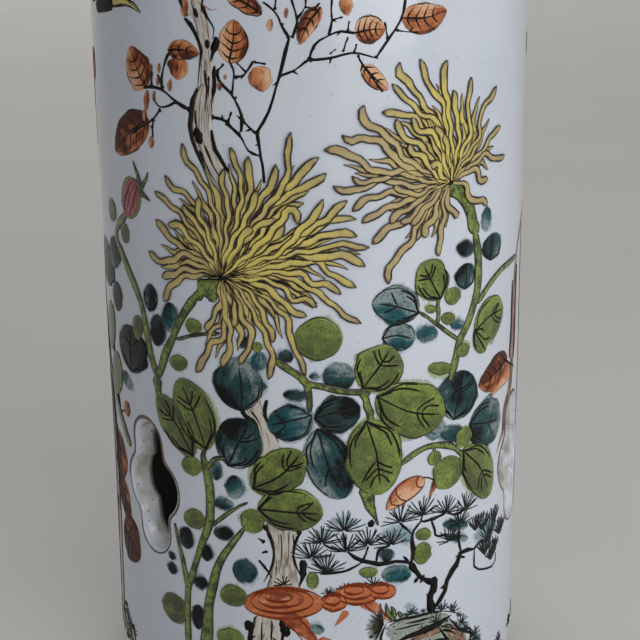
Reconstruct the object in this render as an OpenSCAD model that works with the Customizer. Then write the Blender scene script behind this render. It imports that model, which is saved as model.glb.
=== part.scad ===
// Porcelain hat stand: a tall thrown tube on a turned foot, pierced by two rows of four-lobed windows.
// A real one is luted from separate clay pieces with slip and then fired. Each of those pieces is a node here.
// Frame: millimetres, +Z up, origin at the centre of the resting face. One window of each row faces +Y.

/* [Tube] */
// Outside diameter of the tube
tube_d = 120; // [100:1:150]
// Height from the resting face to the top of the lip
total_h = 285; // [265:1:330]
// Thickness of the tube wall
wall = 6.5; // [4:0.1:9]

/* [Waist joint] */
// Height of the line where the two thrown sections meet on the outside
waist_z = 142.5; // [120:0.5:165]
// Height of the lap that stands up inside the upper section
waist_lap_h = 5; // [2:0.5:10]
// Radial thickness of that lap
waist_lap_t = 3.2; // [1.5:0.1:3.6]
// Radius of the slip bead pressed over the joint inside
waist_bead_r = 2; // [1:0.1:3]

/* [Base] */
// Thickness of the slab that closes the bottom
floor_t = 9; // [6:0.5:14]
// Radius of the rounded shoulder at the bottom edge
shoulder_r = 8; // [3:0.5:10]
// Height of the round step on the slab that locates the tube
spigot_h = 4; // [2:0.5:8]
// Size of the slip fillet in the inside corner
fillet_r = 4; // [2:0.5:6]

/* [Foot] */
// Height of the foot ring
foot_h = 2.5; // [1:0.5:6]
// Setback of the foot ring from the side of the tube
foot_inset = 8; // [4:0.5:14]
// Radial width of the unglazed foot ring
foot_w = 14; // [8:0.5:20]

/* [Lip] */
// Straight height of the lip below its rounded top
lip_straight_h = 2.5; // [1:0.5:6]

/* [Windows] */
// Number of windows in each row
window_count = 3; // [2:1:4]
// Height of a window
window_h = 38.5; // [34:0.5:50]
// Width of a window
window_w = 22.5; // [19:0.5:30]
// Radius of the top and bottom lobes
tip_lobe_r = 6.2; // [4.8:0.1:7]
// Radius of the two side lobes
side_lobe_r = 8.2; // [7:0.1:9.2]
// Height of the lower windows' centres above the resting face
low_window_z = 69.5; // [55:0.5:80]
// Depth of the upper windows' centres below the top of the lip
high_window_drop = 62; // [50:0.5:80]

/* [Fit] */
// Layer of slip left between two pieces that lap
slip_gap = 0.1; // [0.05:0.01:0.2]

/* [Hidden] */
$fn = 96;

tube_r = tube_d / 2;
bore_r = tube_r - wall;
slab_z = foot_h;
slab_top_z = slab_z + floor_t;
spigot_top_z = slab_top_z + spigot_h;
lap_top_z = waist_z + waist_lap_h;
lap_r = bore_r + waist_lap_t;
lip_h = lip_straight_h + wall / 2;
lip_z = total_h - lip_h;
high_window_z = total_h - high_window_drop;
foot_r = tube_r - foot_inset;
// A rounded shoulder never takes the whole edge of the slab
shoulder = min(shoulder_r, floor_t - 0.5);
// A fillet never reaches past the middle of the base
fillet = min(fillet_r, bore_r / 2);
// A cutter passes this far beyond both faces of the wall
cut_past = 4;

// A plain ring standing on z
module ring(outer_r, inner_r, z, h) {
    translate([0, 0, z])
        rotate_extrude()
            translate([inner_r, 0])
                square([outer_r - inner_r, h]);
}

// Slot with round ends, long in X, centred on the origin
module slot_outline(length, end_r) {
    straight = length - 2 * end_r;
    square([straight, 2 * end_r], center = true);
    for (side = [-1, 1])
        translate([side * straight / 2, 0]) circle(end_r);
}

// Four-lobed outline of two crossed slots, tall in Y
module window_outline() {
    slot_outline(window_w, side_lobe_r);
    rotate(90) slot_outline(window_h, tip_lobe_r);
}

// Cutters for one row of windows, straight through the wall, the first one facing +Y
module window_row(z) {
    for (i = [0 : window_count - 1])
        rotate([0, 0, i * 360 / window_count])
            translate([0, tube_r + cut_past, z])
                rotate([90, 0, 0])
                    linear_extrude(wall + 2 * cut_past)
                        window_outline();
}

// Turned ring that the stand rests on, left bare of glaze
module foot_ring() {
    color("tan")
        ring(foot_r, foot_r - foot_w, 0, foot_h);
}

// Half profile of the slab: flat middle, rounded shoulder and the step that locates the tube
module base_profile() {
    square([tube_r - shoulder, floor_t]);
    translate([0, shoulder])
        square([tube_r, floor_t - shoulder]);
    intersection() {
        translate([tube_r - shoulder, shoulder]) circle(shoulder);
        translate([tube_r - shoulder, 0]) square(shoulder);
    }
    square([bore_r - slip_gap, floor_t + spigot_h]);
}

// Slab that closes the bottom of the tube
module base_disc() {
    color("whitesmoke")
        translate([0, 0, slab_z])
            rotate_extrude()
                base_profile();
}

// Hollow fillet of slip in the corner between the slab and the wall
module base_seam() {
    color("gainsboro")
        translate([0, 0, spigot_top_z])
            rotate_extrude()
                difference() {
                    translate([bore_r - fillet, 0]) square(fillet);
                    translate([bore_r - fillet, fillet]) circle(fillet);
                }
}

// Lower thrown section, with the lap that locates the upper one and the lower row of windows
module lower_wall() {
    color("white")
        difference() {
            union() {
                ring(tube_r, bore_r, slab_top_z, waist_z - slab_top_z);
                ring(lap_r - slip_gap, bore_r, slab_top_z, lap_top_z - slab_top_z);
            }
            window_row(low_window_z);
        }
}

// Bead of slip smoothed over the inside of the waist joint
module waist_seam() {
    color("gainsboro")
        translate([0, 0, lap_top_z])
            rotate_extrude()
                difference() {
                    translate([bore_r, 0]) circle(waist_bead_r);
                    translate([bore_r, -waist_bead_r - 1])
                        square([waist_bead_r + 1, 2 * waist_bead_r + 2]);
                }
}

// Upper thrown section, hollowed at its foot to drop over the lap, with the upper row of windows
module upper_wall() {
    color("white")
        difference() {
            union() {
                ring(tube_r, lap_r, waist_z, waist_lap_h);
                ring(tube_r, bore_r, lap_top_z, lip_z - lap_top_z);
            }
            window_row(high_window_z);
        }
}

// Coil that trues the mouth, with a fully rounded top for the hat to sit on
module rim_lip() {
    color("white")
        translate([0, 0, lip_z])
            rotate_extrude() {
                translate([bore_r, 0]) square([wall, lip_straight_h]);
                translate([bore_r + wall / 2, lip_straight_h])
                    intersection() {
                        circle(wall / 2);
                        translate([-wall / 2, 0]) square([wall, wall / 2]);
                    }
            }
}

foot_ring();
base_disc();
base_seam();
lower_wall();
waist_seam();
upper_wall();
rim_lip();
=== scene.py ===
# %% [markdown]
# # A porcelain hat stand
# The stand is a tall tube of porcelain, luted from a few thrown and turned pieces, pierced by two rows of
# four-lobed windows and painted over the glaze with flowers, leaves, rock and pine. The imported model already
# holds every clay piece at its real size. This lesson dresses it: soft-edged walls, glaze, and a painting in
# which every brush stroke is a thin closed skin of enamel lying on the wall.

# %% Load the frame
import math

import bpy
import numpy as np
from mathutils import Matrix, Vector


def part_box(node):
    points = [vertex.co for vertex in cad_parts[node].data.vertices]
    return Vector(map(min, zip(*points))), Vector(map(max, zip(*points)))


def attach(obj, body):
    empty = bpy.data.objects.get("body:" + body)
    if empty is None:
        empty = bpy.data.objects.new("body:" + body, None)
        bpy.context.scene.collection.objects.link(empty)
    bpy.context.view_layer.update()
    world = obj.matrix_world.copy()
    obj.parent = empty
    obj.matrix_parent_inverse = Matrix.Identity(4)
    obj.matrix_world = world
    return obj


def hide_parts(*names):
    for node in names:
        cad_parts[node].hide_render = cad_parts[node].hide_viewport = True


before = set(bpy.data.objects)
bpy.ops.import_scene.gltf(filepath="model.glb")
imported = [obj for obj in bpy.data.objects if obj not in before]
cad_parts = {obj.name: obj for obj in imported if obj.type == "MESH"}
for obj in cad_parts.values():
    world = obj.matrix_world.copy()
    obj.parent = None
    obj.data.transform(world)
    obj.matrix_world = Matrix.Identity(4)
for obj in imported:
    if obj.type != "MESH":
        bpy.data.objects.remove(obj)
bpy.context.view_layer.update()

MM = 0.001
print("clay pieces:", sorted(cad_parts))

# %% [markdown]
# ## Sizes
# The heights and radii of the pieces come from the frame, so the dressed stand can't drift away from the
# solids. Only what a box can't tell, the windows and the soft edges, is written here again as real sizes.
# From here on lengths are in millimetres, because a potter and a painter think in them, and a mesh is scaled
# to metres as it is made.

# %% Sizes from the frame
LOW, HIGH = 0, 1
ACROSS, UP = 0, 2


def corner(name, end, axis):
    """One coordinate of a node's lowest or highest corner, in millimetres."""
    return float(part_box(name)[end][axis]) / MM


TUBE_R = round(corner("upper_wall", HIGH, ACROSS), 1)
STEP_R = corner("base_seam", HIGH, ACROSS) - 0.1
BORE_R = round(corner("base_seam", HIGH, ACROSS), 1)
WALL = TUBE_R - BORE_R
FOOT_H = corner("foot_ring", HIGH, UP)
FOOT_R = round(corner("foot_ring", HIGH, ACROSS), 1)
SLAB_TOP = corner("lower_wall", LOW, UP)
WAIST = corner("upper_wall", LOW, UP)
LIP_Z = corner("rim_lip", LOW, UP)
TOP = corner("rim_lip", HIGH, UP)
SEAM_LOW = corner("base_seam", LOW, UP)
SEAM_HIGH = corner("base_seam", HIGH, UP)
BEAD_LOW = corner("waist_seam", LOW, UP)
BEAD_HIGH = corner("waist_seam", HIGH, UP)

FOOT_W = 14
SHOULDER_R = 8
WINDOW_H = 38.5
WINDOW_W = 22.5
TIP_LOBE_R = 6.2
SIDE_LOBE_R = 8.2
LOW_WINDOW_Z = 69.5
HIGH_WINDOW_Z = TOP - 62
print("tube", 2 * TUBE_R, "mm across,", TOP, "mm tall, wall", WALL, "mm")

# %% [markdown]
# ## Camera
# The photograph was taken from close by, a little above the middle, so the tube narrows towards its foot. The
# camera was found by fitting the tube's two edges and the two windows that show. Its place is given as a
# distance from the axis, a height and a turn round the axis. The same camera also works backwards: a pixel of
# the 640 pixel frame becomes a ray, and where the ray meets the tube is the spot on the wall to paint.

# %% Camera at the photograph's view
FRAME_PX = 640
FOCAL_PX = 1514
SENSOR_W = 36
CAMERA_OUT = 428
CAMERA_UP = 233.5
CAMERA_AZIMUTH = math.radians(-10.7)
CAMERA_PITCH = math.radians(16.70)
CAMERA_ROLL = math.radians(-0.642)
CAMERA_YAW = math.radians(0.267)

camera_spot = np.array([math.sin(CAMERA_AZIMUTH), -math.cos(CAMERA_AZIMUTH), 0]) * CAMERA_OUT
camera_spot[2] = CAMERA_UP
camera_turn = (Matrix.Rotation(CAMERA_AZIMUTH - CAMERA_YAW, 3, "Z")
               @ Matrix.Rotation(math.pi / 2 - CAMERA_PITCH, 3, "X")
               @ Matrix.Rotation(CAMERA_ROLL, 3, "Z"))

camera_data = bpy.data.cameras.new("photo_camera")
camera_data.sensor_width = SENSOR_W
camera_data.lens = FOCAL_PX / FRAME_PX * SENSOR_W
camera = bpy.data.objects.new("photo_camera", camera_data)
camera.matrix_world = Matrix.Translation(Vector(camera_spot * MM)) @ camera_turn.to_4x4()
bpy.context.scene.collection.objects.link(camera)
bpy.context.scene.camera = camera
print("lens", round(camera_data.lens, 2), "mm")


# %% From a pixel to the wall
def pairs_of(numbers):
    """Places as rows, from one number after another."""
    return np.array(numbers, float).reshape(-1, 2)


def on_wall(pixels):
    """Turn flat pixel pairs x, y, x, y into points on the wall, in mm around and mm up."""
    pixels = pairs_of(pixels)
    centred = (pixels - FRAME_PX / 2) / FOCAL_PX
    rays = np.column_stack([centred[:, 0], -centred[:, 1], -np.ones(len(centred))])
    rays = rays @ np.array(camera_turn).T
    across = rays[:, :2]
    start = camera_spot[:2]
    a = (across ** 2).sum(1)
    b = across @ start
    c = start @ start - TUBE_R ** 2
    reach = (-b - np.sqrt(np.maximum(b * b - a * c, 0))) / a
    hit = camera_spot + rays * reach[:, None]
    around = np.arctan2(hit[:, 0], -hit[:, 1]) * TUBE_R
    return np.column_stack([around, hit[:, 2]])


print("middle of the frame is at", on_wall((320, 320)).round(1)[0], "mm on the wall")

# %% [markdown]
# ## Clay walls
# Each half of the tube is a thrown section with three windows cut while the clay was leather-hard, their
# edges then sponged soft. A Boolean cut would leave slivers where the cutter leaves the round wall. Instead
# the wall is laid out flat as a grid, a box of faces is deleted for each window, and the rim of that box is
# extruded inwards onto the window's outline and over a rounded edge, as one would do by hand. That is the
# outer half of the wall's thickness. A Mirror modifier makes the inner half, and the finished sheet is rolled
# up and its seam merged. A very small wobble stays in the radius, because no thrown wall is a true cylinder.

# %% Shape of the wall and of a window
COLUMNS = 360
ROW_H = 2.0
EDGE_R = 0.45
# The rounded edge starts this far outside the outline and ends inside it
EDGE_OUT = 0.15
WOBBLE = 0.12
# The sheet is rolled with its seam midway between two windows
SEAM_DEG = 120
SHEET_START = math.radians(SEAM_DEG - 360) * TUBE_R
SHEET_END = math.radians(SEAM_DEG) * TUBE_R


def wall_radius(turn, z):
    """Radius of the thrown wall at an angle and a height, true at both ends."""
    fade = np.sin(np.pi * np.clip((z - SLAB_TOP) / (LIP_Z - SLAB_TOP), 0, 1))
    waves = np.sin(2 * turn + z / 47) + 0.6 * np.sin(5 * turn - z / 23) + 0.5 * np.sin(z / 7.5 + turn)
    return TUBE_R + WOBBLE * fade * waves


def rolled(around, z, depth):
    """Roll flat wall points into place; depth is measured out from the wall's outer face."""
    turn = around / TUBE_R
    radius = wall_radius(turn, z) + depth
    return np.column_stack([radius * np.sin(turn), -radius * np.cos(turn), z])


def window_reach(angle, lean):
    """Distance from a window's centre to its cut edge in a direction, for its lean."""
    angle = np.asarray(angle) - lean
    x = np.abs(np.cos(angle))
    y = np.abs(np.sin(angle))

    def slot(along, beside, length, end_r):
        straight = length / 2 - end_r
        reach_side = end_r / np.maximum(beside, 1e-6)
        root = np.maximum(end_r ** 2 - (straight * beside) ** 2, 0)
        reach_end = straight * along + np.sqrt(root)
        return np.where(reach_side * along < straight, reach_side, reach_end)

    wide = slot(x, y, WINDOW_W, SIDE_LOBE_R)
    tall = slot(y, x, WINDOW_H, TIP_LOBE_R)
    # A soft maximum rounds the four notches, as a sponge does
    softness = 9
    return (wide ** softness + tall ** softness) ** (1 / softness)


print("window reaches", window_reach([0, math.pi / 2], 0).round(2), "mm to its side and its top")


# %% Helpers for modelling
def select_none():
    """Leave edit mode with nothing selected."""
    if bpy.context.object and bpy.context.object.mode != "OBJECT":
        bpy.ops.object.mode_set(mode="OBJECT")
    bpy.ops.object.select_all(action="DESELECT")


def in_edit(kind="VERT"):
    bpy.ops.object.mode_set(mode="EDIT")
    bpy.ops.mesh.select_mode(type=kind)


def in_object():
    bpy.ops.object.mode_set(mode="OBJECT")


def values_of(parts, name, kind=float, wide=1):
    """One property of all vertices, edges or faces of a mesh, a row for each where it has several values."""
    flat = np.empty(len(parts) * wide, kind)
    parts.foreach_get(name, flat)
    return flat.reshape(-1, wide) if wide > 1 else flat


def points_of(piece):
    return values_of(piece.data.vertices, "co", float, 3)


def put_points(piece, places):
    piece.data.vertices.foreach_set("co", np.asarray(places, float).ravel())
    piece.data.update()


def chosen_points(piece):
    return values_of(piece.data.vertices, "select", bool)


def edit_chosen(piece, kind, wanted):
    """Enter edit mode with exactly the wanted edges or faces selected."""
    for parts in (piece.data.vertices, piece.data.edges, piece.data.polygons):
        parts.foreach_set("select", np.zeros(len(parts), bool))
    in_edit(kind)
    in_object()
    parts = piece.data.edges if kind == "EDGE" else piece.data.polygons
    parts.foreach_set("select", wanted)
    in_edit(kind)


def close_up(piece, smooth_deg=40):
    """Merge doubles, turn the faces outwards and smooth all but the sharp edges."""
    in_edit()
    bpy.ops.mesh.select_all(action="SELECT")
    bpy.ops.mesh.remove_doubles(threshold=0.002 * MM)
    bpy.ops.mesh.dissolve_degenerate(threshold=0.001 * MM)
    bpy.ops.mesh.delete_loose()
    bpy.ops.mesh.select_all(action="SELECT")
    bpy.ops.mesh.normals_make_consistent(inside=False)
    in_object()
    bpy.ops.object.shade_smooth_by_angle(angle=math.radians(smooth_deg))
    uses = np.bincount(values_of(piece.data.loops, "edge_index", int), minlength=len(piece.data.edges))
    print(piece.name, len(piece.data.polygons), "faces,", int((uses != 2).sum()), "open edges")


# %% One thrown section
WINDOW_BOX = (16.5, 24)
BOX_MARGIN = 3
NEAR = 0.01
FAN_STEPS = (0.3, 0.55, 0.75, 0.9, 1)
ROUND_STEPS = 5
# The cut face: how deep its rings lie, how lumpy it is, and how far its inner edge draws in
CUT_STEPS = (0.7, 0.35, 0)
LUMPS = 0.3
TAPER = 3.2
TAPER_FADE = 4.2


def thrown_section(name, foot_z, top_z, windows):
    """Half of the tube: a flat sheet with three windows, mirrored to its thickness and rolled up."""
    select_none()
    rows = round((top_z - foot_z) / ROW_H)
    bpy.ops.mesh.primitive_grid_add(x_subdivisions=COLUMNS, y_subdivisions=rows, size=2)
    sheet = bpy.context.object
    sheet.name = name
    unit = points_of(sheet)
    around = SHEET_START + (unit[:, 0] + 1) / 2 * (SHEET_END - SHEET_START)
    up = foot_z + (unit[:, 1] + 1) / 2 * (top_z - foot_z)
    put_points(sheet, np.column_stack([around, up, np.full(len(up), WALL / 2)]))
    for centre, lean in windows:
        open_window(sheet, centre, lean)
    # The top and foot edges go down to the middle of the wall, where the mirrored half meets them
    height = points_of(sheet)[:, 1]
    extrude_rim(sheet, (np.abs(height - foot_z) < NEAR) | (np.abs(height - top_z) < NEAR))
    places = points_of(sheet)
    places[chosen_points(sheet), 2] = 0
    put_points(sheet, places)
    mirror = sheet.modifiers.new("inner_half", "MIRROR")
    mirror.use_axis = (False, False, True)
    mirror.merge_threshold = NEAR
    bpy.ops.object.modifier_apply(modifier=mirror.name)
    places = points_of(sheet)
    for centre, lean in windows:
        places = tapered(places, centre, lean)
    put_points(sheet, rolled(places[:, 0], places[:, 1], places[:, 2] - WALL / 2) * MM)
    close_up(sheet)
    return sheet


def extrude_rim(sheet, wanted):
    """Extrude the edges whose two ends are wanted, and leave the new vertices selected."""
    edit_chosen(sheet, "EDGE", wanted[values_of(sheet.data.edges, "vertices", int, 2)].all(1))
    bpy.ops.mesh.extrude_edges_move()
    in_object()


def open_window(sheet, centre, lean):
    """Cut one window: delete a box of faces, then extrude its rim onto the outline and over the edge."""
    middles = values_of(sheet.data.polygons, "center", float, 3)[:, :2]
    edit_chosen(sheet, "FACE", (np.abs(middles - centre) < WINDOW_BOX).all(1))
    bpy.ops.mesh.delete(type="FACE")
    bpy.ops.mesh.select_mode(type="EDGE")
    bpy.ops.mesh.select_all(action="DESELECT")
    bpy.ops.mesh.select_non_manifold(extend=False)
    in_object()
    out = points_of(sheet)[:, :2] - centre
    rim = chosen_points(sheet) & (np.abs(out) < np.add(WINDOW_BOX, BOX_MARGIN)).all(1)
    box_angles = np.arctan2(out[rim, 1], out[rim, 0])
    order = np.argsort(box_angles)
    box_angles = box_angles[order]
    box_reach = np.linalg.norm(out[rim], axis=1)[order]

    def ring(share, inset, height, lumps=0.0):
        """Extrude the rim once more: share of the way in, inset from the outline, height in the wall."""
        nonlocal rim
        extrude_rim(sheet, rim)
        rim = chosen_points(sheet)
        spots = points_of(sheet)
        out = spots[rim][:, :2] - centre
        turn = np.arctan2(out[:, 1], out[:, 0])
        start = np.interp(turn, box_angles, box_reach, period=2 * math.pi)
        end = window_reach(turn, lean) + inset
        end = end - lumps * (np.sin(6 * turn + height) + np.sin(11 * turn - 1.4 * height + lean * 40)) / 2
        reach = start + share * (end - start)
        spots[rim, 0] = centre[0] + reach * np.cos(turn)
        spots[rim, 1] = centre[1] + reach * np.sin(turn)
        spots[rim, 2] = height
        put_points(sheet, spots)

    for share in FAN_STEPS:
        ring(share, EDGE_OUT, WALL / 2)
    for step in range(1, ROUND_STEPS + 1):
        bend = step / ROUND_STEPS * math.pi / 2
        ring(1, EDGE_OUT - EDGE_R * math.sin(bend), WALL / 2 - EDGE_R * (1 - math.cos(bend)))
    for share in CUT_STEPS:
        ring(1, EDGE_OUT - EDGE_R, (WALL / 2 - EDGE_R) * share, LUMPS)


def tapered(places, centre, lean):
    """Draw a window's inner edge in at its top and its bottom, where the knife leaned, and fade that out."""
    out = places[:, :2] - centre
    turn = np.arctan2(out[:, 1], out[:, 0])
    beyond = np.hypot(out[:, 0], out[:, 1]) - window_reach(turn, lean)
    hold = np.clip(1 - beyond / TAPER_FADE, 0, 1) * (np.abs(out[:, 0]) < WINDOW_BOX[0] + 1)
    deep = 0.5 - places[:, 2] / WALL
    moved = places.copy()
    moved[:, 1] -= TAPER * deep * hold * np.sin(turn) ** 3
    return moved


def window_row(z, leans):
    """Centre on the flat wall and lean of each window in a row, from degrees round the wall and of lean."""
    return [(np.array([math.radians(deg) * TUBE_R, z]), math.radians(lean)) for deg, lean in leans.items()]


LOW_WINDOWS = window_row(LOW_WINDOW_Z, {-180: -2.0, -60: 4.5, 60: 1.5})
HIGH_WINDOWS = window_row(HIGH_WINDOW_Z, {-180: 1.5, -60: -2.5, 60: 3.0})
clay = {
    "lower_wall": thrown_section("lower_wall_glazed", SLAB_TOP, WAIST, LOW_WINDOWS),
    "upper_wall": thrown_section("upper_wall_glazed", WAIST, LIP_Z, HIGH_WINDOWS),
}

# %% [markdown]
# ## Turned pieces
# The lip, the base, the foot and the two seams of slip inside are all round, so each is a profile spun about
# the axis. A circle primitive gives a closed ring of vertices, the code places them on the profile, and Spin
# carries them round. Doubles at the start and at the axis are merged and the faces turned outwards. The foot
# keeps the fine rings that a turning tool leaves, and the seams keep a potter's finger marks.

# %% Spin a profile
SPIN_STEPS = 180


def arc(centre, radius, start_deg, end_deg, steps):
    """Points along an arc, degrees measured from outwards towards up."""
    bends = np.radians(np.linspace(start_deg, end_deg, steps))
    return [(centre[0] + radius * math.cos(b), centre[1] + radius * math.sin(b)) for b in bends]


def turned(name, profile, marks=None):
    """Spin a closed profile of radius and height pairs; marks may move points by angle and height."""
    select_none()
    bpy.ops.mesh.primitive_circle_add(vertices=len(profile), radius=1)
    piece = bpy.context.object
    piece.name = name
    put_points(piece, np.array([(r, 0, z) for r, z in profile]) * MM)
    in_edit()
    bpy.ops.mesh.select_all(action="SELECT")
    bpy.ops.mesh.spin(steps=SPIN_STEPS, angle=2 * math.pi, center=(0, 0, 0), axis=(0, 0, 1))
    in_object()
    if marks:
        put_points(piece, marks(points_of(piece) / MM) * MM)
    close_up(piece)
    return piece


# %% Lip, base and foot
def lip_profile():
    middle = (BORE_R + WALL / 2, TOP - WALL / 2)
    return [(TUBE_R, LIP_Z)] + arc(middle, WALL / 2, 0, 180, 20) + [(BORE_R, LIP_Z)]


def base_profile():
    shoulder = arc((TUBE_R - SHOULDER_R, FOOT_H + SHOULDER_R), SHOULDER_R, -90, 0, 14)
    # A shallow hollow under the base, inside the foot, where the turning tool left the slab dished
    dish = [(0, FOOT_H + 1.2), (20, FOOT_H + 1.0), (32, FOOT_H + 0.4), (FOOT_R - FOOT_W, FOOT_H)]
    return dish + shoulder + [(TUBE_R, SLAB_TOP), (STEP_R, SLAB_TOP), (STEP_R, SEAM_LOW), (0, SEAM_LOW)]


FOOT_WEAR = 0.7
TURNING_RINGS = 21
RING_DEPTH = 0.12


def foot_profile():
    """Flat ring with worn corners and fine turning rings under it."""
    inner = FOOT_R - FOOT_W
    spots = np.linspace(inner + FOOT_WEAR, FOOT_R - FOOT_WEAR, TURNING_RINGS)
    rings = [(r, RING_DEPTH * (i % 2)) for i, r in enumerate(spots)]
    outer = arc((FOOT_R - FOOT_WEAR, FOOT_WEAR), FOOT_WEAR, -90, 0, 5)[1:]
    return rings + outer + [(FOOT_R, FOOT_H), (inner, FOOT_H), (inner, FOOT_WEAR)]


clay["rim_lip"] = turned("rim_lip_glazed", lip_profile())
clay["base_disc"] = turned("base_disc_glazed", base_profile())
foot_ring = turned("foot_ring_turned", foot_profile())


# %% Seams of slip inside
FINGER_MARKS = 34


def finger_pressed(depth):
    """Slip pressed with a fingertip: the free face is dented at even steps round the seam."""
    def marks(places):
        turn = np.arctan2(places[:, 0], -places[:, 1])
        radius = np.hypot(places[:, 0], places[:, 1])
        free = np.clip((BORE_R - radius) / 2, 0, 1)
        dent = depth * free * (0.5 + 0.5 * np.cos(FINGER_MARKS * turn + np.sin(3 * turn)))
        radius = radius + dent
        return np.column_stack([radius * np.sin(turn), -radius * np.cos(turn), places[:, 2]])
    return marks


def base_seam_profile():
    size = SEAM_HIGH - SEAM_LOW
    return arc((BORE_R - size, SEAM_HIGH), size, -90, 0, 10) + [(BORE_R, SEAM_LOW)]


def waist_seam_profile():
    return arc((BORE_R, (BEAD_LOW + BEAD_HIGH) / 2), (BEAD_HIGH - BEAD_LOW) / 2, 90, 270, 12)


clay["base_seam"] = turned("base_seam_pressed", base_seam_profile(), finger_pressed(0.35))
clay["waist_seam"] = turned("waist_seam_pressed", waist_seam_profile(), finger_pressed(0.5))

# %% [markdown]
# ## Finishes
# A finish is written as arithmetic on what the surface knows: where a point is, how far it lies from the edge
# of its brush stroke, how far along the stroke it is, and a little noise. One class wraps a shader socket so
# that plain Python operators add the Math nodes, and one method makes any other node.


# %% A socket that does arithmetic
class Wire:
    """A shader socket that Python's operators can work with."""

    def __init__(self, tree, socket=None):
        self.tree = tree
        self.socket = socket

    def node(self, kind, settings=None, inputs=None, output=0):
        """Any node: its type, its settings, which are set first, and values or links for its sockets."""
        made = self.tree.nodes.new("ShaderNode" + kind)
        for name, value in (settings or {}).items():
            setattr(made, name, value)
        for name, value in (inputs or {}).items():
            if isinstance(value, Wire):
                self.tree.links.new(value.socket, made.inputs[name])
            else:
                made.inputs[name].default_value = value
        return Wire(self.tree, made.outputs[output])

    def math(self, operation, first, second):
        return self.node("Math", {"operation": operation}, {0: first, 1: second})

    def __add__(self, other):
        return self.math("ADD", self, other)

    def __radd__(self, other):
        return self.math("ADD", other, self)

    def __sub__(self, other):
        return self.math("SUBTRACT", self, other)

    def __rsub__(self, other):
        return self.math("SUBTRACT", other, self)

    def __mul__(self, other):
        return self.math("MULTIPLY", self, other)

    def __rmul__(self, other):
        return self.math("MULTIPLY", other, self)

    def rise(self, low, high):
        """0 below low, 1 above high, with a smooth climb between; low may be the larger one."""
        settings = {"interpolation_type": "SMOOTHSTEP"}
        return self.node("MapRange", settings, {0: self, 1: low, 2: high})

    def mix(self, factor, first, second):
        """Blend two colours, each a wire or red, green and blue from 0 to 255."""
        first, second = (tint if isinstance(tint, Wire) else colour(*tint) for tint in (first, second))
        return self.node("Mix", {"data_type": "RGBA"}, {0: factor, 6: first, 7: second}, 2)

    def noise(self, where, scale, detail=2.0, stretch=None):
        """Cloudy noise from 0 to 1; scale is in clouds per millimetre, stretch scales the three axes."""
        if stretch:
            where = self.node("VectorMath", {"operation": "MULTIPLY"}, {0: where, 1: stretch})
        return self.node("TexNoise", None, {"Vector": where, "Scale": scale / MM, "Detail": detail})


def colour(red, green, blue):
    """A screen colour from 0 to 255 as the linear colour that a shader wants."""
    values = np.array([red, green, blue]) / 255
    linear = np.where(values > 0.04045, ((values + 0.055) / 1.055) ** 2.4, values / 12.92)
    return (*linear.tolist(), 1)


def new_finish(name, constants):
    """A material with its shader's constant values set, and a wire to build its pattern on."""
    material = bpy.data.materials.new(name)
    material.use_nodes = True
    shader = material.node_tree.nodes["Principled BSDF"]
    for socket, value in constants.items():
        shader.inputs[socket].default_value = value
    return material, Wire(material.node_tree), shader


def feed(shader, wire, sockets):
    """Link pattern values to the shader's sockets."""
    for socket, value in sockets.items():
        wire.tree.links.new(value.socket, shader.inputs[socket])


def lightly_bumped(wire, height, depth_mm):
    """A Bump node's normal for a height between 0 and 1."""
    return wire.node("Bump", None, {"Strength": 1.0, "Distance": depth_mm * MM, "Height": height})


# %% [markdown]
# ## Glaze and biscuit
# The glaze is a bluish-white glass, thick and even, with faint clouding, a few drips that ran down, and
# tiny iron specks that burned out of the clay. The specks are drawn on the unrolled wall, so that each is a
# flat round dot. Deep inside, the glaze is duller, and it is painted grey-brown there as painted shade for
# the dark inside of the tube. The foot is bare biscuit, warm where the kiln flashed it and a little grey
# where it stood.

# %% Glaze
GLAZE_WHITE = (211, 218, 230)
GLAZE_POOL = (204, 212, 225)
GLAZE_WARM = (214, 218, 226)
IRON_SPECK = (60, 42, 34)
INSIDE_SHADE_GREY = (140, 135, 128)
CUT_SHEEN_WHITE = (230, 232, 233)
CUT_DUST = (182, 178, 160)
PIT_GREY = (84, 78, 72)


def unrolled(wire):
    """Object place as metres around and metres up the wall."""
    place = wire.node("TexCoord", None, None, "Object")
    parts = wire.node("SeparateXYZ", None, {0: place})
    across, away, height = (Wire(wire.tree, socket) for socket in parts.socket.node.outputs)
    turn = wire.math("ARCTAN2", across, 0 - away)
    flat = wire.node("CombineXYZ", None, {0: turn * (TUBE_R * MM), 1: height, 2: 0.0})
    reach = wire.math("POWER", across * across + away * away, 0.5)
    # The deep inside of the bore, away from the foot and the mouth, is painted darker as painted shade
    inside = reach.rise((BORE_R + 2.2) * MM, (BORE_R + 0.3) * MM) * height.rise(6 * MM, 10 * MM)
    inside = inside * height.rise((TOP - 4) * MM, (TOP - 60) * MM)
    # The cut faces of the windows lie between the two skins of the wall
    cut = reach.rise((TUBE_R - 0.7) * MM, (TUBE_R - 1.6) * MM)
    cut = cut * reach.rise((BORE_R + 0.2) * MM, (BORE_R + 1.2) * MM)
    cut = cut * height.rise((LIP_Z - 6) * MM, (LIP_Z - 10) * MM)
    return place, flat, inside, cut


def specks(wire, flat, spacing_mm, size_mm, share):
    """Scattered dots: a share of the cells of a Voronoi pattern gets one."""
    settings = {"voronoi_dimensions": "2D"}
    inputs = {"Vector": flat, "Scale": 1 / (spacing_mm * MM)}
    near = wire.node("TexVoronoi", settings, inputs, "Distance")
    chance = Wire(wire.tree, near.socket.node.outputs["Color"])
    pick = wire.node("SeparateColor", None, {0: chance}, 0)
    size = size_mm / spacing_mm
    return near.rise(size, size * 0.5) * pick.rise(share, share - 0.02)


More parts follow.
